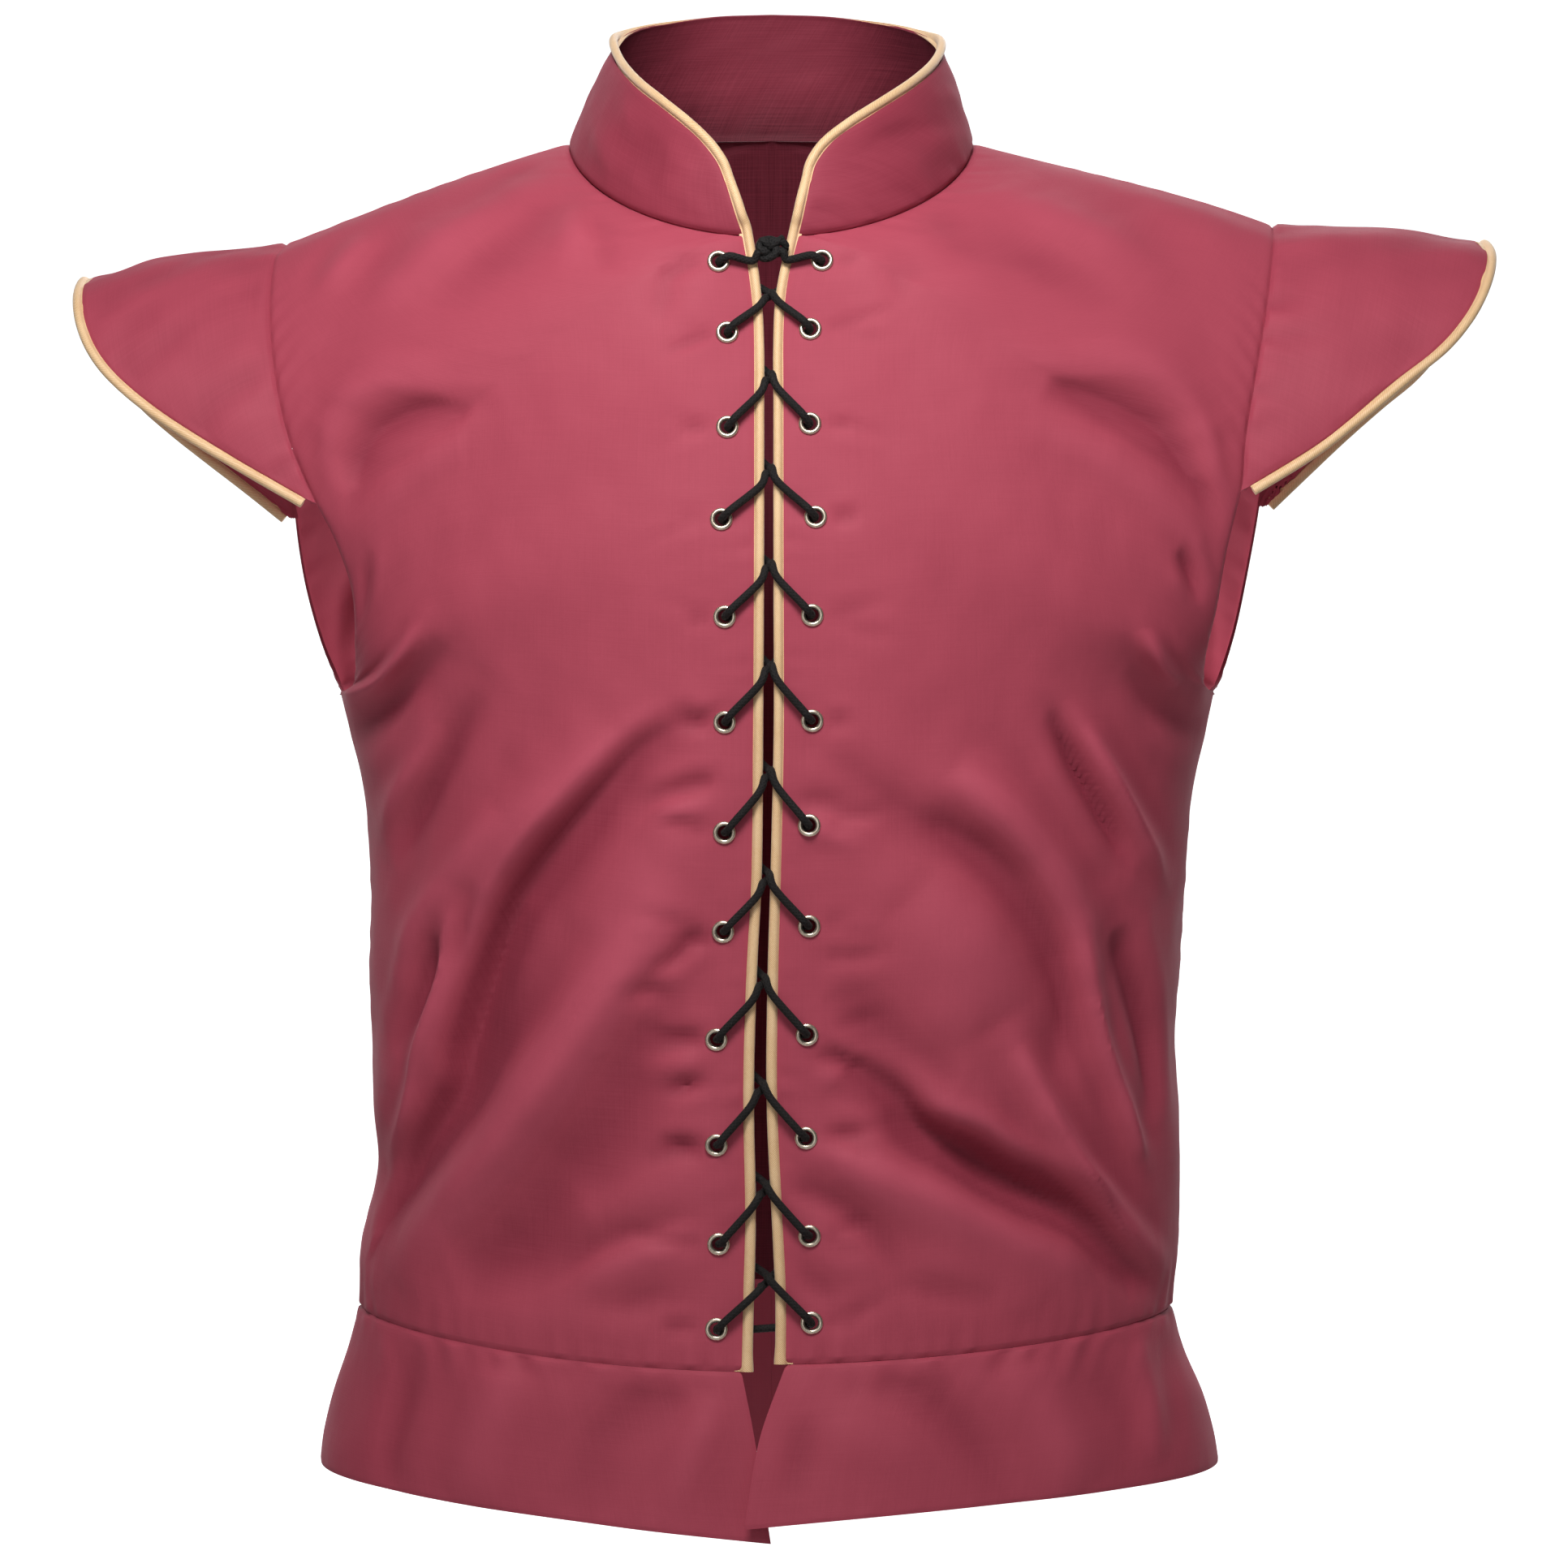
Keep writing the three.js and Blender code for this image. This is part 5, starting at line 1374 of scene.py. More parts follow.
@dataclass
class Fronts:
    """Both fronts, with their eyelet holes.

    Attributes:
        rows: Steps up a front.
        columns: Steps across it.
        hole: Radius of an eyelet's hole in the cloth.
        pull: Depth of the small creases beside the eyelets.
    """

    finishes: Finishes
    rows: int = 232
    columns: int = 92
    hole: float = 3.9
    pull: float = 1.7
    clothes: dict[Side, Cloth] = field(default_factory=dict)

    def eyelet_places(self, side: Side) -> list[np.ndarray]:
        """Middle of each eyelet of a side, top row first."""
        places = []
        for number in range(1, EYELET_ROWS + 1):
            low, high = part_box(f"eyelet_{side.word}_{number:02d}")
            places.append((np.array(low) + np.array(high)) / 2 / MM)
        return places

    def pulls(self, cloth: Cloth, side: Side) -> list[Crease]:
        """Small uneven creases that run away from the eyelets."""
        dice = np.random.RandomState(11 if side is Side.LEFT else 5)
        creases = []
        for x, _, z in self.eyelet_places(side):
            for lean in (0.25, -0.3):
                length = dice.uniform(12, 34)
                away = x + side.value * 7
                rise = length * (lean + dice.uniform(-0.15, 0.15))
                run = ((away, z + 0.1 * rise), (away + side.value * length * 0.5, z + 0.5 * rise),
                       (away + side.value * length, z + rise))
                depth = -self.pull * dice.uniform(0.3, 1.0)
                creases.append(Crease(depth, dice.uniform(2.6, 4.6), run, 0, 0.3))
        return creases

    def build(self) -> None:
        """Makes both fronts."""
        for side in Side:
            shape = front_shape(side)
            across = spaced(self.columns, rim=0.0035)
            up = spaced(self.rows, (UNDERARM_SHARE, FRONT_NECK_SHARE), 0.0014)
            cloth = Cloth(eased(shape.points(across, up), across, up), side.value)
            self.fold(cloth, side, up)
            piece = cloth.build(f"cloth_front_{side.word}", self.seam_turns(side, up))
            self.clothes[side] = cloth
            self.pierce(piece, side)
            dress(piece, self.finishes.cloth, "cloth", f"front_{side.word}")

    def fold(self, cloth: Cloth, side: Side, up: np.ndarray) -> None:
        """Lays the folds, puckers and seam edges."""
        fade = cloth.fade({Edge.BOTTOM: 26, Edge.TOP: 26, Edge.END: 22, Edge.START: 12})
        lower = 1 + 0.22 * smooth_step(-cloth.base[..., 2], 250, 360)
        cloth.crease(FRONT_CREASES[side], fade * lower)
        cloth.crease(self.pulls(cloth, side), cloth.fade({Edge.START: 6, Edge.END: 20}))
        swell = cloth.ripple(0.3, 62, 3) + cloth.ripple(0.14, 27, 8)
        cloth.height += swell * fade
        low = (up <= FRONT_NECK_SHARE)[:, None]
        armhole = (up >= UNDERARM_SHARE)[:, None]
        cloth.pucker(Edge.BOTTOM, 1.3, 17, 13, 21)
        cloth.pucker(Edge.END, 0.8, 15, 11, 22, np.where(armhole, 1.0, 0.45))
        cloth.pucker(Edge.START, 0.45, 12, 8, 23, np.where(low, 1.0, 1.5))
        cloth.pucker(Edge.TOP, 0.4, 16, 9, 24)
        cloth.roll(Edge.START, 0.7, 1.4, np.where(low, 0.6, 1.4))
        cloth.roll(Edge.END, 0.9, 1.5)
        cloth.roll(Edge.BOTTOM, 1.0, 1.6)
        cloth.roll(Edge.TOP, 0.6, 1.4)

    @staticmethod
    def seam_turns(side: Side, up: np.ndarray) -> Callable[[np.ndarray], None]:
        """Keeps the wall's edges clear of the next piece at the seams."""

        def turn(ways: np.ndarray) -> None:
            neck = up >= FRONT_NECK_SHARE
            rest = (up[neck] - FRONT_NECK_SHARE) / (1 - FRONT_NECK_SHARE)
            angle = NECK.opening + (math.pi / 2 - NECK.opening) * rest
            ways[neck, 0] = NECK.directions(side, angle)
            ways[up <= UNDERARM_SHARE, -1] = (side.value, 0, 0)
            ways[-1, 1:] = (0, 0, 1)
            ways[0, :, 2] = 0
            ways[0] = unit(ways[0])

        return turn

    def pierce(self, piece: bpy.types.Object, side: Side) -> None:
        """Cuts the eyelet holes through a front."""
        tools = []
        for place in self.eyelet_places(side):
            normal = normal_at(piece, place)
            bpy.ops.object.select_all(action="DESELECT")
            bpy.ops.mesh.primitive_cylinder_add(
                vertices=28, radius=self.hole * MM, depth=14 * MM,
                location=Vector(place * MM), rotation=normal.to_track_quat("Z", "Y").to_euler())
            tools.append(bpy.context.object)
        for tool in tools:
            tool.select_set(True)
        bpy.ops.object.join()
        cutter = bpy.context.object
        apply_modifier(piece, "BOOLEAN", object=cutter, operation="DIFFERENCE", solver="EXACT")
        bpy.data.objects.remove(cutter, do_unlink=True)
        smooth_by_angle(piece, 50)


def normal_at(piece: bpy.types.Object, place: np.ndarray) -> Vector:
    """Finds the way that the cloth faces in front of a place.

    Args:
        piece: The cloth.
        place: A point in millimetres.

    Returns:
        The outward normal there, evened over a few millimetres.
    """
    mesh = piece.data
    tree = BVHTree.FromPolygons([v.co for v in mesh.vertices],
                                [p.vertices[:] for p in mesh.polygons])
    start = Vector((place[0] * MM, -1.0, place[2] * MM))
    blend = Vector((0, 0, 0))
    for dx, dz in ((0, 0), (4, 0), (-4, 0), (0, 4), (0, -4)):
        near = tree.ray_cast(start + Vector((dx * MM, 0, dz * MM)), Vector((0, 1, 0)))
        if near[1] is not None:
            blend += near[1]
    return blend.normalized()


@dataclass
class Back:
    """The back, in one piece from side seam to side seam."""

    finishes: Finishes
    rows: int = 200
    columns: int = 84
    # Painted shade over the inside, and painted light added on it near the arms.
    inside_painted_shade: float = -1.85
    arm_painted_light: float = 2.45

    def build(self) -> None:
        """Makes the back, with painted shade inside and painted light there near the arms."""
        across = spaced(self.columns, rim=0.0035)
        up = spaced(self.rows, (UNDERARM_SHARE, BACK_NECK_SHARE), 0.0014)
        pieces = []
        for side in Side:
            grid = back_shape(side).points(across, up)
            cloth = Cloth(grid, -side.value)
            cloth.square_middle(up <= BACK_NECK_SHARE + ROUNDING)
            self.fold(cloth, side, up)
            # Painted light on the inside near the armholes, fading towards the middle and
            # downwards.
            edge = smooth_step(np.abs(grid[..., 0] - NECK.middle_x), 120, 205)
            lit = edge * smooth_step(grid[..., 2], -330, -270)
            piece = cloth.build(f"cloth_back_{side.word}", self.seam_turns(side, up),
                                self.inside_painted_shade + self.arm_painted_light * lit)
            pieces.append(piece)
        piece = join_halves(pieces, "cloth_back")
        dress(piece, self.finishes.cloth, "cloth", "back")

    def fold(self, cloth: Cloth, side: Side, up: np.ndarray) -> None:
        """Lays the folds, puckers and seam edges of one half."""
        body = (up < BACK_NECK_SHARE)[:, None]
        fade = cloth.fade({Edge.BOTTOM: 26, Edge.TOP: 26, Edge.END: 22})
        across = smooth_step(cloth.u, 0, 40)
        cloth.crease([one for one in BACK_CREASES if one.run[1][0] * side.value > 0],
                     fade * across)
        cloth.height += (cloth.ripple(0.7, 62, 31) + cloth.ripple(0.35, 27, 32)) * fade * across
        armhole = (up >= UNDERARM_SHARE)[:, None]
        cloth.pucker(Edge.BOTTOM, 1.2, 17, 13, 41)
        cloth.pucker(Edge.END, 0.7, 15, 11, 42, np.where(armhole, 1.0, 0.45))
        cloth.pucker(Edge.START, 0.5, 13, 9, 43, np.where(body, 0.0, 1.0))
        cloth.roll(Edge.END, 0.9, 1.5)
        cloth.roll(Edge.BOTTOM, 1.0, 1.6)
        cloth.roll(Edge.TOP, 0.6, 1.4)
        cloth.roll(Edge.START, 0.9, 1.5, np.where(body, 0.0, 1.0))

    @staticmethod
    def seam_turns(side: Side, up: np.ndarray) -> Callable[[np.ndarray], None]:
        """Keeps the wall's edges clear of the next piece at the seams."""

        def turn(ways: np.ndarray) -> None:
            neck = up >= BACK_NECK_SHARE
            rest = (up[neck] - BACK_NECK_SHARE) / (1 - BACK_NECK_SHARE)
            angle = math.pi - (math.pi / 2) * rest
            ways[~neck, 0, 0] = 0
            ways[:, 0] = unit(ways[:, 0])
            ways[neck, 0] = NECK.directions(side, angle)
            ways[up <= UNDERARM_SHARE, -1] = (side.value, 0, 0)
            ways[-1, 1:] = (0, 0, 1)
            ways[0, :, 2] = 0
            ways[0] = unit(ways[0])

        return turn


def collar_angles(share: np.ndarray) -> np.ndarray:
    """Angle round the neck at each share of a collar half, centre front to centre back."""
    split = 7 / 12
    ahead = NECK.opening + (math.pi / 2 - NECK.opening) * share / split
    behind = math.pi / 2 + (math.pi / 2) * (share - split) / (1 - split)
    return np.where(share <= split, ahead, behind)


def collar_grid(share: np.ndarray, up: np.ndarray,
                lift: float = -0.5) -> tuple[np.ndarray, np.ndarray, np.ndarray]:
    """The collar's outside.

    Args:
        share: Shares of a half, centre front to centre back.
        up: Shares from the neck seam to the top.
        lift: How far its lower edge stands over the neck seam.

    Returns:
        The grid from the right front round to the left front, the seam directions of its
        columns, and the share of each column.
    """
    strips, ways, shares = [], [], []
    for side in Side:
        angle = collar_angles(share)
        base = NECK.points(side, angle) + (0, 0, lift)
        top = COLLAR_TOP.points(side, share)
        out = NECK.directions(side, angle)
        level = out.copy()
        level[:, 2] = 0
        t = up[:, None, None]
        swell = COLLAR_BULGE * 4 * t * (1 - t)
        grid = base[None] * (1 - t) + top[None] * t + level[None] * swell
        order = slice(None) if side is Side.RIGHT else slice(-2, None, -1)
        strips.append(grid[:, order])
        ways.append(out[order])
        shares.append(share[order])
    return np.concatenate(strips, axis=1), np.concatenate(ways), np.concatenate(shares)


@dataclass
class Collar:
    """The standing collar.

    Attributes:
        rows: Steps up it.
        columns: Steps along each half.
        outside_painted_shade: Painted shade on the outside.
        inside_painted_shade: Painted shade on the inside at the middle of the back.
        deep_painted_shade: More painted shade, added towards its ends and towards the neck seam.
    """

    finishes: Finishes
    rows: int = 30
    columns: int = 96
    outside_painted_shade: float = -0.8
    inside_painted_shade: float = -1.4
    deep_painted_shade: float = -0.6

    def build(self) -> None:
        """Makes the collar."""
        share = spaced(self.columns, rim=0.004)
        up = spaced(self.rows, rim=0.02)
        grid, ways, _ = collar_grid(share, up)
        cloth = Cloth(grid, -1.0)
        cloth.crease(COLLAR_CREASES, cloth.fade({Edge.BOTTOM: 14, Edge.TOP: 14}))
        cloth.height += (cloth.ripple(0.4, 46, 51) + cloth.ripple(0.2, 20, 52)) * cloth.fade(
            {Edge.BOTTOM: 14, Edge.TOP: 14, Edge.START: 10, Edge.END: 10})
        cloth.pucker(Edge.BOTTOM, 0.5, 14, 9, 53)
        cloth.pucker(Edge.TOP, 0.25, 12, 6, 54)
        cloth.roll(Edge.BOTTOM, 1.0, 1.6)
        cloth.roll(Edge.TOP, 0.4, 1.2)
        cloth.roll(Edge.START, 0.4, 1.2)
        cloth.roll(Edge.END, 0.4, 1.2)

        def turn(directions: np.ndarray) -> None:
            directions[0] = ways

        # Painted shade inside the collar, deeper towards its ends and towards the neck seam.
        ends = smooth_step(np.abs(grid[..., 0] - NECK.middle_x), 20, 80)
        low = 1 - smooth_step(up, 0, 0.5)[:, None]
        inside = self.inside_painted_shade + self.deep_painted_shade * ends + self.deep_painted_shade * low
        piece = cloth.build("cloth_collar", turn, inside, self.outside_painted_shade)
        dress(piece, self.finishes.cloth, "cloth", "collar")


@dataclass
class Wings:
    """The shoulder wings, sewn into the upper half of each armhole.

    Attributes:
        along: Steps from the front end to the back end.
        out: Steps from the armhole to the free edge.
        bulge: How far the cloth swells between them.
        overlap: How far it tucks under the armhole's edge.
        end_tuck: Added to that at the back end.
        end_share: Share of the length over which each end narrows.
        back_sag: How far the back half hangs lower.
        rim: Share of the first close step towards the free edge.
        outside_painted_shade: Painted shade on the outside.
    """

    finishes: Finishes
    along: int = 120
    out: int = 44
    bulge: float = 3.5
    overlap: float = 0.4
    end_tuck: float = 1.6
    end_share: float = 0.16
    back_sag: float = 4.0
    rim: float = 0.012
    outside_painted_shade: float = -0.35

    def grid(self, side: Side, share: np.ndarray, out: np.ndarray) -> np.ndarray:
        """Points of a wing.

        Args:
            side: Which wing.
            share: Shares from its front end over the shoulder to its back end.
            out: Shares from the armhole to its free edge.

        Returns:
            A grid with a row for each share along.
        """
        ahead = share <= 0.5
        span = 1 - WING_SHARE
        up = np.where(ahead, WING_SHARE + 2 * share * span, 1 - 2 * (share - 0.5) * span)
        front, front_way = front_shape(side).edge(1, up, side.value)
        back, back_way = back_shape(side).edge(1, up, -side.value)
        tuck = self.overlap + self.end_tuck * smooth_step(share, 0.9, 1)
        root = np.where(ahead[:, None], front, back)
        root[:, 0] -= side.value * tuck
        way = np.where(ahead[:, None], front_way, back_way)
        rise = 1 - np.abs(2 * share - 1)
        row = WING_EDGE.at(rise)
        edge = WING_EDGE.points(side, rise)
        edge[:, 0] = np.where(ahead, edge[:, 0], row[f"x_back_{side.word}"])
        edge[:, 1] *= np.where(ahead, -1, 1)
        edge[:, 2] -= self.back_sag * np.sin(math.pi * np.clip(2 * share - 1, 0, 1))
        from_end = np.clip(np.minimum(share, 1 - share) / self.end_share, 0, 1)
        edge[:, 1] = root[:, 1] * (1 - from_end) + edge[:, 1] * from_end
        t = out[None, :, None]
        swell = self.bulge * 4 * t * (1 - t) * np.sin(math.pi * share)[:, None, None]
        return root[:, None] * (1 - t) + edge[:, None] * t + way[:, None] * swell

    def build(self) -> None:
        """Makes both wings."""
        for side in Side:
            share = spaced(self.along, (0.5,), 0.004)
            out = spaced(self.out, rim=self.rim)
            cloth = Cloth(self.grid(side, share, out), side.value)
            seed = 60 if side is Side.LEFT else 70
            fade = cloth.fade({edge: 12 for edge in Edge})
            cloth.height += cloth.ripple(0.6, 58, seed) * fade
            cloth.height += cloth.ripple(0.35, 24, seed + 1) * fade
            cloth.pucker(Edge.START, 0.9, 15, 12, seed + 2)
            cloth.pucker(Edge.END, 0.3, 12, 6, seed + 3)
            cloth.roll(Edge.START, 0.9, 1.5)
            cloth.roll(Edge.END, 0.4, 1.2)
            # Painted shade darkens the outside of the wing.
            piece = cloth.build(f"cloth_wing_{side.word}", outside=self.outside_painted_shade)
            dress(piece, self.finishes.cloth, "cloth", f"wing_{side.word}")


@dataclass
class Peplum:
    """The short flared skirt below the waist seam, its left front lapped over the right."""

    finishes: Finishes
    rows: int = 34
    columns: int = 90

    def build(self) -> None:
        """Makes its three pieces."""
        for side in Side:
            shape = PanelShape(
                side,
                lambda down, side=side: PEPLUM_FRONT_EDGE.points(side, down),
                lambda down, side=side: PEPLUM_SIDE_EDGE.points(side, down),
                PEPLUM_FRONT_HANDLES,
            )
            cloth = self.cloth(shape, -side.value, PEPLUM_CREASES[side], 80, True)
            piece = cloth.build(f"cloth_peplum_front_{side.word}", self.seam_turns(side))
            dress(piece, self.finishes.cloth, "cloth", f"peplum_front_{side.word}")
        halves = []
        for side in Side:
            shape = PanelShape(
                side,
                lambda down, side=side: PEPLUM_BACK_EDGE.points(side, down),
                lambda down, side=side: PEPLUM_SIDE_EDGE.points(side, down),
                PEPLUM_BACK_HANDLES,
            )
            creases = [one for one in PEPLUM_BACK_CREASES if one.run[1][0] * side.value > 0]
            cloth = self.cloth(shape, side.value, creases, 90, False)
            halves.append(cloth.build(f"cloth_peplum_back_{side.word}", self.seam_turns(side)))
        piece = join_halves(halves, "cloth_peplum_back")
        dress(piece, self.finishes.cloth, "cloth", "peplum_back")

    def cloth(self, shape: PanelShape, flip: float, creases: Sequence[Crease], seed: int,
              open_front: bool) -> Cloth:
        """Cloth of one piece, waist seam first.

        Args:
            shape: Its smooth surface.
            flip: Turns the normals outwards.
            creases: Its listed folds.
            seed: Picks the puckers.
            open_front: Whether its inner edge is a free folded edge.

        Returns:
            The folded cloth.
        """
        down = spaced(self.rows, rim=0.012)
        cloth = Cloth(shape.points(spaced(self.columns, rim=0.0035), down), flip)
        if not open_front:
            cloth.square_middle(down >= 0)
        fade = cloth.fade({Edge.BOTTOM: 16, Edge.END: 18})
        inner = smooth_step(cloth.u, 0, 14 if open_front else 36)
        cloth.crease(creases, fade * inner)
        cloth.height += cloth.ripple(0.5, 48, seed) * fade * inner
        cloth.pucker(Edge.BOTTOM, 1.0, 17, 12, seed + 1, inner if not open_front else 1.0)
        cloth.pucker(Edge.TOP, 0.35, 14, 6, seed + 2, inner)
        cloth.roll(Edge.BOTTOM, 0.9, 1.6)
        cloth.roll(Edge.TOP, 0.5, 1.2)
        cloth.roll(Edge.END, 0.9, 1.5)
        if open_front:
            cloth.roll(Edge.START, 0.5, 1.2)
        return cloth

    @staticmethod
    def seam_turns(side: Side) -> Callable[[np.ndarray], None]:
        """Keeps the wall's edges clear of the next piece at the seams."""

        def turn(ways: np.ndarray) -> None:
            ways[:, -1] = (side.value, 0, 0)
            ways[0, :, 2] = 0
            ways[0] = unit(ways[0])

        return turn


@dataclass
class Piping:
    """Round gold piping up both front edges, along the collar and round the wings.

    Attributes:
        radius: Radius of the covered cord.
        gap: Clearance between the cord and the cut edge.
        flange: How far its flat lip reaches from the middle of the cord.
        lip: Thickness of the lip.
        core: Radius of the cord under the cover.
        behind: Shares of the collar between which it turns to the outside.
        back_drop: How far it then drops below the edge.
        step: Distance between the rings of a cord.
        smoothing: How often the corner of the collar is smoothed.
        wing_steps: Points along a wing's edge.
    """

    finishes: Finishes
    wings: Wings
    radius: float = 2.15
    gap: float = 0.55
    flange: float = 4.2
    lip: float = 0.55
    core: float = 2.1
    behind: tuple[float, float] = (0.46, 0.68)
    back_drop: float = 2.8
    step: float = 1.5
    smoothing: int = 60
    wing_steps: int = 19
    routes: dict[Side, np.ndarray] = field(default_factory=dict)

    def ring(self) -> np.ndarray:
        """Cord with its lip, the lip along the first axis."""
        angle = np.radians(np.linspace(24, 336, 19))
        rounded = self.radius * np.stack([np.cos(angle), np.sin(angle)], axis=-1)
        half = self.lip / 2
        lip = np.array([(self.radius + 0.25, -half), (self.flange, -half),
                        (self.flange, half), (self.radius + 0.25, half)])
        return np.vstack([rounded, lip])

    def beside(self, outer: np.ndarray, inner: np.ndarray, share: np.ndarray,
               sign: float) -> tuple[np.ndarray, np.ndarray]:
        """Route of the piping along a cut edge.

        Args:
            outer: Outer points of the edge.
            inner: Inner points of the edge.
            share: Way round the collar, which turns the cord to the outside at the back.
            sign: 1 or -1, the side of the edge that the cord lies on.

        Returns:
            The route, and the way from it to the cloth.
        """
        out = unit(outer - inner)
        steps = unit(np.diff(outer, axis=0))
        along = np.vstack([2 * steps[:1], steps[:-1] + steps[1:], 2 * steps[-1:]])
        reach = (self.core + self.gap) / (np.linalg.norm(along, axis=1) / 2)
        away = unit(np.cross(along, out)) * sign
        hidden = smooth_step(share, *self.behind)
        turn = hidden * math.pi / 2
        swing = reach * (1 + 0.2 * np.sin(2 * turn))
        drop = self.back_drop * smooth_step(hidden, 0.75, 1)
        middle = (outer + inner) / 2
        shift = away * (swing * np.cos(turn) - drop)[:, None]
        shift = shift + out * (swing * np.sin(turn) + CAD_WALL / 2 * np.sin(turn))[:, None]
        return middle + shift, -shift

    def front_edge(self, side: Side) -> tuple[np.ndarray, np.ndarray]:
        """Outer and inner points of a front's cut edge, waist to neck."""
        up = np.arange(FRONT_NECK_ROW) / PANEL_ROWS
        outer, way = front_shape(side).edge(0, up, side.value)
        way[0, 2] = 0
        return outer, outer - unit(way) * CAD_WALL

    def edge_points(self) -> tuple[np.ndarray, np.ndarray, np.ndarray]:
        """Outer and inner points, and shares, of the whole front and collar edge."""
        share = np.arange(13) / 12
        grid, ways, shares = collar_grid(share, np.arange(4) / 3, 0.45)
        normals = Cloth(grid, -1.0).normals
        normals[0] = ways
        inner = grid - normals * CAD_WALL
        stack = [(0, 0), (1, 0), (2, 0)]
        stack += [(3, column) for column in range(grid.shape[1])]
        stack += [(2, -1), (1, -1), (0, -1)]
        rows = np.array([row for row, _ in stack])
        columns = np.array([column for _, column in stack])
        right_out, right_in = self.front_edge(Side.RIGHT)
        left_out, left_in = self.front_edge(Side.LEFT)
        zeros = np.zeros(FRONT_NECK_ROW)
        return (np.vstack([right_out, grid[rows, columns], left_out[::-1]]),
                np.vstack([right_in, inner[rows, columns], left_in[::-1]]),
                np.concatenate([zeros, np.where(rows == 3, shares[columns], 0), zeros]))

    def cord(self, name: str, route: np.ndarray, toward: np.ndarray,
             flared: bool) -> bpy.types.Object:
        """Makes one length of piping."""
        both = even_line(spline(np.hstack([route, toward]), SPLINE_STEPS), self.step)
        if flared:
            share = 0.5 * smooth_step(both[1:-1, 2:3], 18, 34)
            for _ in range(self.smoothing):
                both[1:-1] += share * ((both[:-2] + both[2:]) / 2 - both[1:-1])
        line, way = both[:, :3], both[:, 3:]
        size = np.ones(len(line))
        if flared:
            size += 0.16 * smooth_step(-line[:, 2], 260, 470)
            count = np.arange(len(line))
            ends = np.minimum(count, count[::-1]) * self.step
            size += 0.26 * np.exp(-((ends / 5.5) ** 2))
        return swept(name, line, way, self.ring(), size)

    def build(self) -> None:
        """Makes the edge piping and both wing pipings."""
        outer, inner, share = self.edge_points()
        route, toward = self.beside(outer, inner, share, 1.0)
        front = FRONT_NECK_ROW + 5
        self.routes[Side.RIGHT] = route[:front]
        self.routes[Side.LEFT] = route[-front:][::-1]
        piece = self.cord("gold_piping_edge", route, toward, True)
        dress(piece, self.finishes.piping, "piping", "piping_edge")
        for side in Side:
            along = np.linspace(0, 1, self.wing_steps)
            out = spaced(self.wings.out, rim=self.wings.rim)
            grid = self.wings.grid(side, along, out)
            normals = Cloth(grid, side.value).normals
            edge, back = grid[:, -1], grid[:, -1] - normals[:, -1] * CLOTH_WALL
            route, toward = self.beside(edge, back, np.zeros(self.wing_steps), side.value)
            piece = self.cord(f"gold_piping_wing_{side.word}", route, toward, False)
            dress(piece, self.finishes.piping, "piping", f"piping_wing_{side.word}")

    def at(self, side: Side, z: float) -> np.ndarray:
        """Middle of a front's piping at a height."""
        route = self.routes[side]
        return np.array([np.interp(z, route[:, 2], route[:, k]) for k in range(3)])


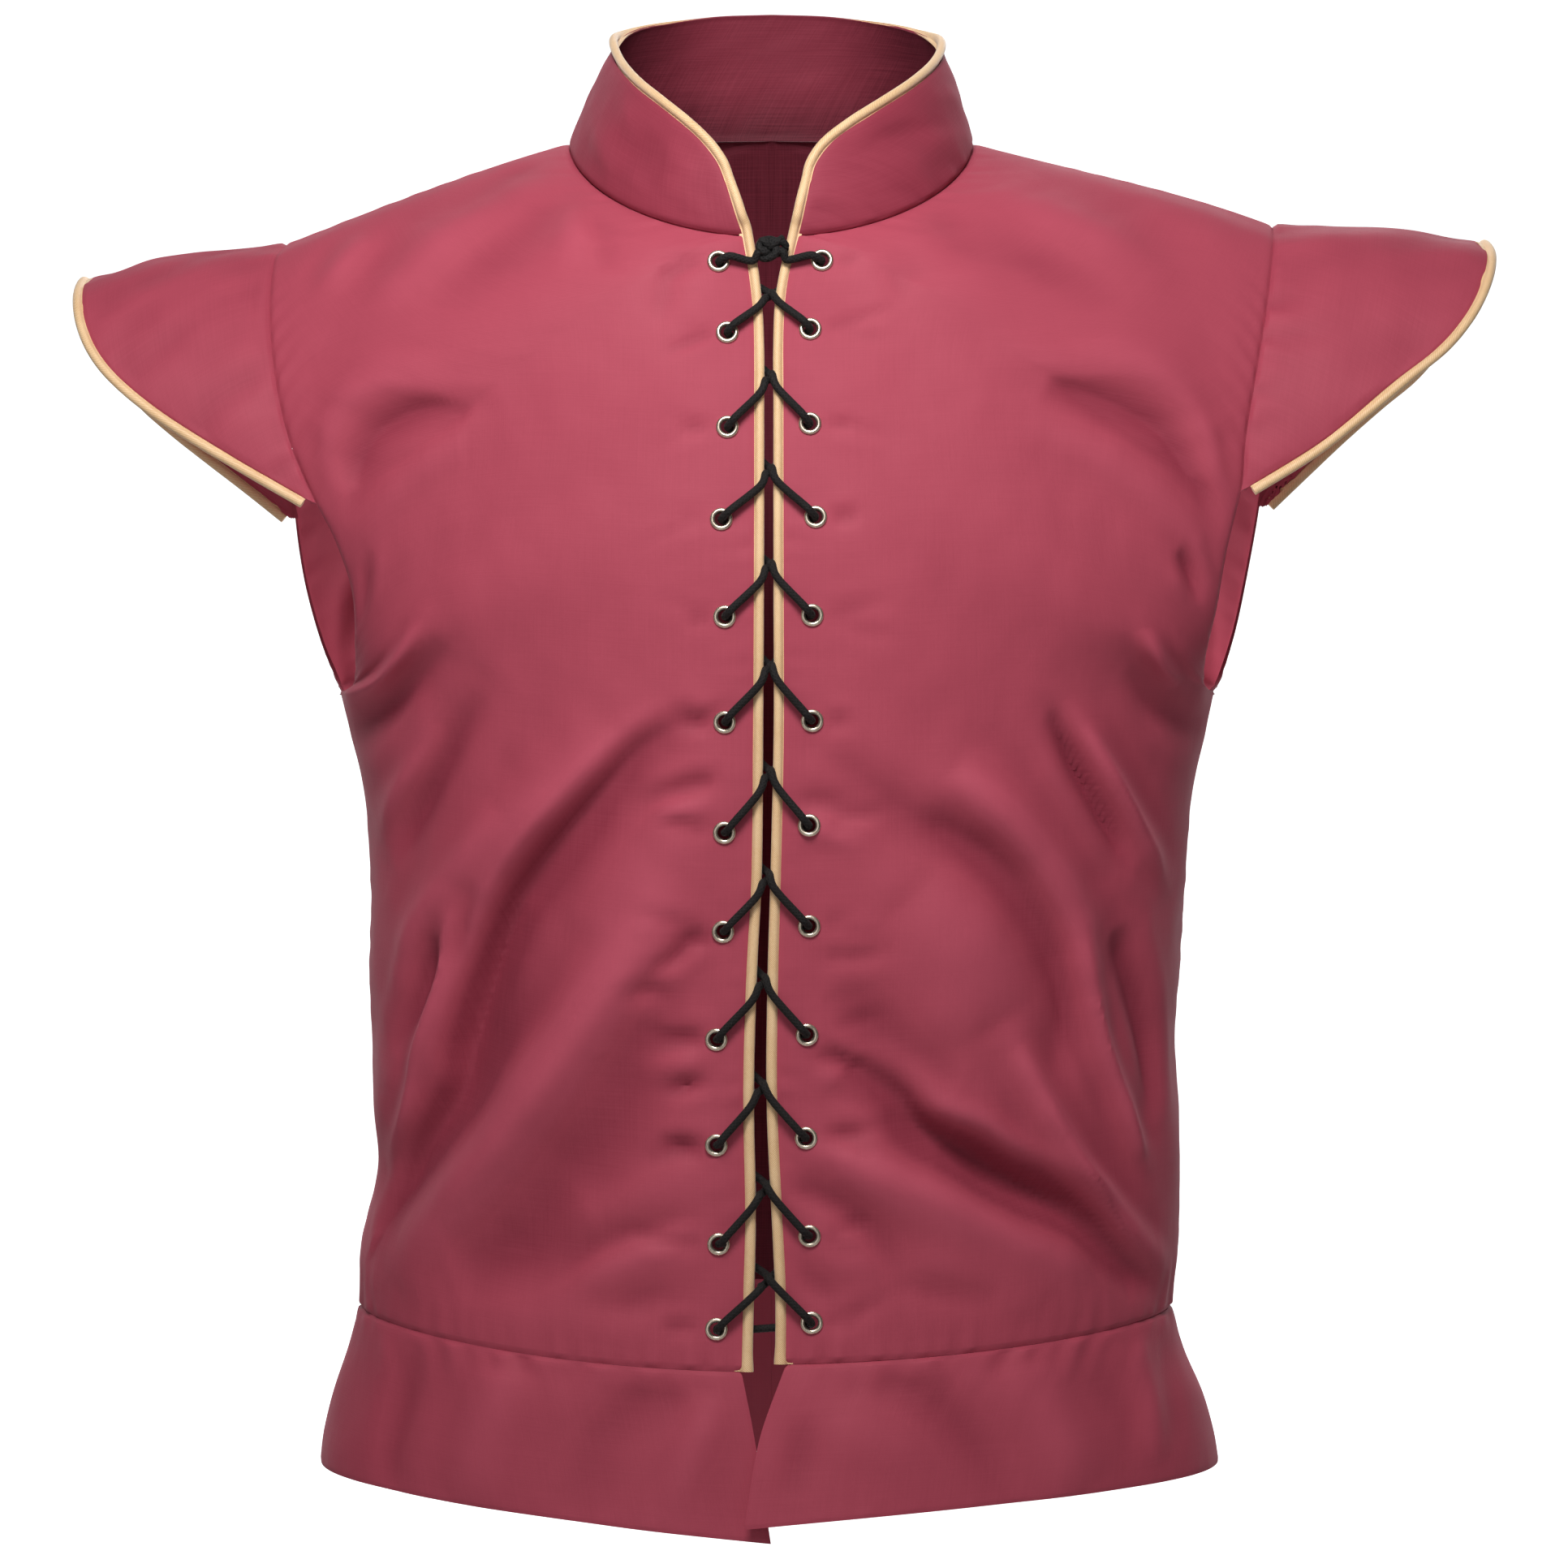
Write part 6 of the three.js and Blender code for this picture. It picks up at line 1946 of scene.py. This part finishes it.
@dataclass
class Eyelets:
    """Pressed metal eyelets, a rolled rim outside and a ring inside.

    Attributes:
        hole: Radius of the hole.
        foot: Height at which the hole's edge starts.
        steps: Radius and height of each ring of the pressing after the first.
    """

    finishes: Finishes
    fronts: Fronts
    hole: float = 3.1
    foot: float = -2.0
    steps: tuple[tuple[float, float], ...] = (
        (3.05, 0.35), (3.3, 1.0), (3.9, 1.42), (4.6, 1.42), (5.2, 1.05), (5.5, 0.5),
        (5.4, 0.12), (4.4, 0.1), (3.65, 0.0), (3.6, -2.0), (4.9, -2.1), (5.0, -2.35), (3.4, -2.6),
    )
    spots: dict[Side, list[tuple[np.ndarray, np.ndarray]]] = field(default_factory=dict)

    def pressing(self) -> bpy.types.Object:
        """One eyelet at the origin, its axis along Z, raised ring by ring."""
        bpy.ops.object.select_all(action="DESELECT")
        bpy.ops.mesh.primitive_circle_add(vertices=32, radius=self.hole * MM,
                                          location=(0, 0, self.foot * MM))
        piece = bpy.context.object
        bpy.ops.object.transform_apply(location=True, rotation=True, scale=True)
        bpy.ops.object.mode_set(mode="EDIT")
        bpy.ops.mesh.select_all(action="SELECT")
        radius, height = self.hole, self.foot
        for wide, high in self.steps:
            bpy.ops.mesh.extrude_edges_move(
                TRANSFORM_OT_translate={"value": (0, 0, (high - height) * MM)})
            ratio = wide / radius
            bpy.ops.transform.resize(value=(ratio, ratio, 1), center_override=(0, 0, 0))
            radius, height = wide, high
        bpy.ops.mesh.select_all(action="DESELECT")
        bpy.ops.mesh.select_mode(type="EDGE")
        bpy.ops.mesh.select_non_manifold()
        bpy.ops.mesh.bridge_edge_loops()
        bpy.ops.mesh.select_all(action="SELECT")
        bpy.ops.mesh.normals_make_consistent(inside=False)
        bpy.ops.object.mode_set(mode="OBJECT")
        apply_modifier(piece, "SUBSURF", levels=1, render_levels=1)
        smooth_by_angle(piece, 40)
        return piece

    def build(self) -> None:
        """Sets all the eyelets into the fronts."""
        model = self.pressing()
        dice = np.random.RandomState(4)
        for side in Side:
            cloth = self.fronts.clothes[side]
            self.spots[side] = []
            for number, place in enumerate(self.fronts.eyelet_places(side), 1):
                spot, normal = self.seat(cloth, place)
                piece = model.copy()
                piece.data = model.data.copy()
                piece.name = f"nickel_eyelet_{side.word}_{number:02d}"
                bpy.context.scene.collection.objects.link(piece)
                way = Vector(normal)
                turn = way.to_track_quat("Z", "Y").to_matrix().to_4x4()
                spin = Matrix.Rotation(dice.uniform(0, 6.28), 4, "Z")
                piece.data.transform(Matrix.Translation(Vector(spot * MM)) @ turn @ spin)
                dress(piece, self.finishes.nickel, "eyelet", f"eyelet_{side.word}_{number:02d}")
                self.spots[side].append((spot, normal))
            LOG.info("%s front: %d eyelets", side.word, len(self.spots[side]))
        bpy.data.objects.remove(model, do_unlink=True)

    @staticmethod
    def seat(cloth: Cloth, place: np.ndarray) -> tuple[np.ndarray, np.ndarray]:
        """Point and normal of the cloth's outside in front of a place."""
        outer = cloth.outer()
        apart = np.hypot(outer[..., 0] - place[0], outer[..., 2] - place[2])
        row, column = np.unravel_index(np.argmin(apart), apart.shape)
        near = apart < 7
        normal = unit(cloth.facing(outer)[near].mean(axis=0))
        ring = outer[near]
        height = ((ring - outer[row, column]) @ normal).mean()
        spot = outer[row, column].copy()
        spot[0], spot[2] = place[0], place[2]
        shift = (outer[row, column] - spot) @ normal / normal[1]
        spot[1] += shift + 0.4 * height / normal[1]
        return spot, normal


@dataclass
class Lacing:
    """The black lace, crossed up the front and tied at the top.

    Attributes:
        radius: Radius of the braided lace.
        crossing: How far each strand stays on its own side where they meet over the gap.
        over_piping: How far the lace stands in front of the piping's middle.
        knot: Where the knot is, across and up.
        inside: Heights over an eyelet, and ways from its middle, before it comes through.
        outside: The same after it has come through.
        clear: The same where it leaves for the piping.
        deeper: How far the left strand passes behind the right one.
        step: Distance between the rings of the lace.
    """

    finishes: Finishes
    piping: Piping
    eyelets: Eyelets
    radius: float = 1.85
    crossing: float = 1.7
    over_piping: float = 4.3
    knot: tuple[float, float] = (2.2, -59.5)
    inside: tuple[tuple[float, float], ...] = ((-6.4, 4), (-2.4, 0.6))
    outside: tuple[tuple[float, float], ...] = ((1.2, 0.5), (2.9, 2.6))
    clear: tuple[float, float] = (4.0, 6.0)
    deeper: float = 4.2
    step: float = 0.9

    @staticmethod
    def beside(spot: tuple[np.ndarray, np.ndarray], height: float, reach: float,
               target: np.ndarray) -> np.ndarray:
        """A point over an eyelet, moved sideways towards a target."""
        place = spot[0] + spot[1] * height
        away = target - place
        away = away - spot[1] * np.dot(away, spot[1])
        return place + unit(away) * reach

    def strand(self, first: Side) -> np.ndarray:
        """One end of the lace, from the bar inside the bottom row up to the knot."""
        points = []
        side = first
        for row in reversed(range(EYELET_ROWS)):
            spot = self.eyelets.spots[side][row]
            _, y, z = spot[0]
            below = np.array([NECK.middle_x, y, z - 8])
            points += [self.beside(spot, *stop, below) for stop in self.inside]
            goal = np.array([NECK.middle_x, y, z + (20 if row else 6)])
            points += [self.beside(spot, *stop, goal) for stop in self.outside]
            if row == 0:
                points += self.to_knot(spot, side)
            else:
                above = self.eyelets.spots[side.other][row - 1][0]
                level = self.eyelets.spots[side][row - 1][0]
                dive = (z + level[2]) / 2 + 0.4 * side.value * self.crossing
                own = side.value * self.crossing
                deeper = 0.0 if side is Side.RIGHT else self.deeper
                gap = (self.piping.at(Side.RIGHT, dive) + self.piping.at(Side.LEFT, dive)) / 2
                over = self.piping.at(side, z + (dive - z) * 0.72)
                behind = gap + (-0.3 * own, 5.0 + deeper, 1.6)
                goal = np.array([above[0], gap[1] + 7 + deeper, above[2]])
                points += [
                    self.beside(spot, *self.clear, over),
                    over - (0, self.over_piping, 0),
                    gap + (own, -1.9, 0),
                    gap + (own, 2.6, 0.4),
                    behind,
                    behind + (goal - behind) * 0.35,
                ]
            side = side.other
        return np.array(points)

    def to_knot(self, spot: tuple[np.ndarray, np.ndarray], side: Side) -> list[np.ndarray]:
        """The last stretch, over the piping and into the knot."""
        x, z = self.knot
        near = np.array([x, spot[0][1], z])
        over = self.piping.at(side, spot[0][2]) - (0, self.over_piping, 0)
        end = np.array([x + side.value * 6.0, over[1] - 1.2, z - 2.0])
        return [self.beside(spot, *self.clear, near), over, end,
                np.array([x + side.value * 2.0, over[1] - 1.0, z - 0.5])]

    def build(self) -> None:
        """Makes the lace and its knot."""
        route = np.vstack([self.strand(Side.RIGHT)[::-1], self.strand(Side.LEFT)])
        line = even_line(spline(route, SPLINE_STEPS), self.step)
        ring = circle(self.radius, 12)
        piece = swept("black_lace", line, None, ring)
        dress(piece, self.finishes.lace, "lace", "lace")
        length = np.linalg.norm(np.diff(line, axis=0), axis=1).sum()
        LOG.info("lace length %.0f mm", length)
        knot = swept("black_lace_knot", self.knot_line(), None, ring, closed=True)
        ends = [swept(f"lace_end_{side.word}", self.end_line(side), None, ring * 0.95)
                for side in Side]
        only(knot)
        for one in ends:
            one.select_set(True)
        bpy.ops.object.join()
        dress(knot, self.finishes.lace, "lace", "lace_knot")

    def knot_centre(self) -> np.ndarray:
        """Middle of the knot."""
        level = self.piping.at(Side.RIGHT, self.knot[1])
        return np.array([self.knot[0], level[1] - 5.4, self.knot[1]])

    def knot_line(self) -> np.ndarray:
        """The turns of the knot, pulled tight."""
        u = np.linspace(0, 4 * math.pi, 121)[:-1]
        reach = 4.4 * (2 + np.cos(1.5 * u)) / 2
        x, y = reach * np.cos(u) * 1.05, -4.4 * np.sin(1.5 * u) / 2 * 0.9
        z = reach * np.sin(u) * 0.72 + 0.9 * np.cos(u)
        return self.knot_centre() + np.stack([x, y, z], axis=-1)

    def end_line(self, side: Side) -> np.ndarray:
        """A short cut end that stands out of the knot."""
        sign = side.value
        run = np.array([(0, -1.0, 0.5), (2.0 * sign, -2.2, 2.2), (4.0 * sign, -2.0, 3.6),
                        (5.4 * sign, -0.6, 3.2 + 1.6 * sign)])
        return self.knot_centre() + spline(run, SPLINE_STEPS)


@dataclass(frozen=True)
class Lamp:
    """One square soft light.

    Attributes:
        name: Its name.
        place: Where it stands, in metres.
        target: Where it points.
        size: Its side.
        power: Its power in watts.
        seen: Off where it is hidden from the camera.
    """

    name: str
    place: tuple[float, float, float]
    target: tuple[float, float, float]
    size: float
    power: float
    seen: bool = True

    def light(self) -> None:
        """Adds it to the scene."""
        data = bpy.data.lights.new(self.name, "AREA")
        data.energy = self.power
        data.size = self.size
        lamp = bpy.data.objects.new(self.name, data)
        lamp.location = self.place
        way = Vector(self.target) - Vector(self.place)
        lamp.rotation_euler = way.to_track_quat("-Z", "Y").to_euler()
        bpy.context.scene.collection.objects.link(lamp)
        if not self.seen:
            lamp.visible_camera = False


LAMPS = (
    Lamp("key", (-0.05, -0.93, 0.53), (0, -0.12, -0.16), 0.42, 13),
    Lamp("fill", (-0.2, -3.4, -0.2), (0, 0, -0.3), 1.6, 9),
    Lamp("side", (-1.6, -2.4, -0.3), (-0.1, 0, -0.3), 1.0, 3),
    Lamp("back", (0.5, 2.2, 1.0), (0, 0.1, -0.3), 1.4, 14),
    Lamp("inner_left", (0.08, 0.03, -0.25), (1, 0.33, -0.21), 0.08, 0.2, False),
    Lamp("inner_right", (-0.08, 0.03, -0.25), (-1, 0.33, -0.21), 0.08, 0.13, False),
)


@dataclass
class Studio:
    """Pale floor and lit backdrop, soft lights and the camera."""

    floor_z: float = -1.75
    wall_y: float = 6.0
    wall_size: float = 16.0
    camera_at: tuple[float, float, float] = (0.0084, -2.6, -0.3124)
    lens: float = 121.1
    sensor: float = 36
    world_light: float = 0.05

    def build(self) -> None:
        """Makes the studio."""
        self.paper("floor", (0, 0, self.floor_z), 0, 0.0)
        self.paper("backdrop", (0, self.wall_y, 0), math.pi / 2, 1.0)
        for lamp in LAMPS:
            lamp.light()
        world = bpy.data.worlds.new("studio")
        bpy.context.scene.world = world
        world.use_nodes = True
        sky = world.node_tree.nodes["Background"]
        sky.inputs[0].default_value = (1, 1, 1, 1)
        sky.inputs[1].default_value = self.world_light
        bpy.context.scene.view_settings.view_transform = "Standard"
        self.camera()

    def camera(self) -> None:
        """Adds the camera, level and square to the front."""
        data = bpy.data.cameras.new("camera")
        data.lens = self.lens
        data.sensor_width = self.sensor
        camera = bpy.data.objects.new("camera", data)
        camera.location = self.camera_at
        camera.rotation_euler = (math.pi / 2, 0, 0)
        bpy.context.scene.collection.objects.link(camera)
        bpy.context.scene.camera = camera

    def paper(self, name: str, place: tuple[float, float, float], tilt: float,
              glow: float) -> None:
        """Adds a large sheet of pale paper.

        Args:
            name: Its name.
            place: Its middle.
            tilt: Turn about the X axis.
            glow: How strongly it is lit from behind.
        """
        bpy.ops.object.select_all(action="DESELECT")
        bpy.ops.mesh.primitive_plane_add(size=self.wall_size, location=place,
                                         rotation=(tilt, 0, 0))
        sheet = bpy.context.object
        sheet.name = name
        bpy.ops.object.transform_apply(location=True, rotation=True)
        shader = Shader(f"pale_paper_{name}")
        position = shader.node("ShaderNodeTexCoord").outputs["Object"]
        grain = shader.noise(position, (3, 3, 3), 2)
        colour = shader.mix(grain, (0.93, 0.93, 0.93, 1), (0.96, 0.96, 0.96, 1))
        rough = shader.range(grain, 0.3, 0.7, 0.8, 0.9)
        normal = shader.bump(grain, 0.02, 0.001)
        sheet.data.materials.append(shader.finish(
            colour, rough, normal, Emission_Color=(1, 1, 1, 1), Emission_Strength=glow))


def main() -> None:
    """Builds the doublet, piece by piece, and its studio."""
    logging.basicConfig(level=logging.INFO, format="%(name)s: %(message)s")
    finishes = Finishes.make()
    Studio().build()
    fronts = Fronts(finishes)
    fronts.build()
    Back(finishes).build()
    Collar(finishes).build()
    wings = Wings(finishes)
    wings.build()
    Peplum(finishes).build()
    piping = Piping(finishes, wings)
    piping.build()
    eyelets = Eyelets(finishes, fronts)
    eyelets.build()
    Lacing(finishes, piping, eyelets).build()


if __name__ == "__main__":
    main()
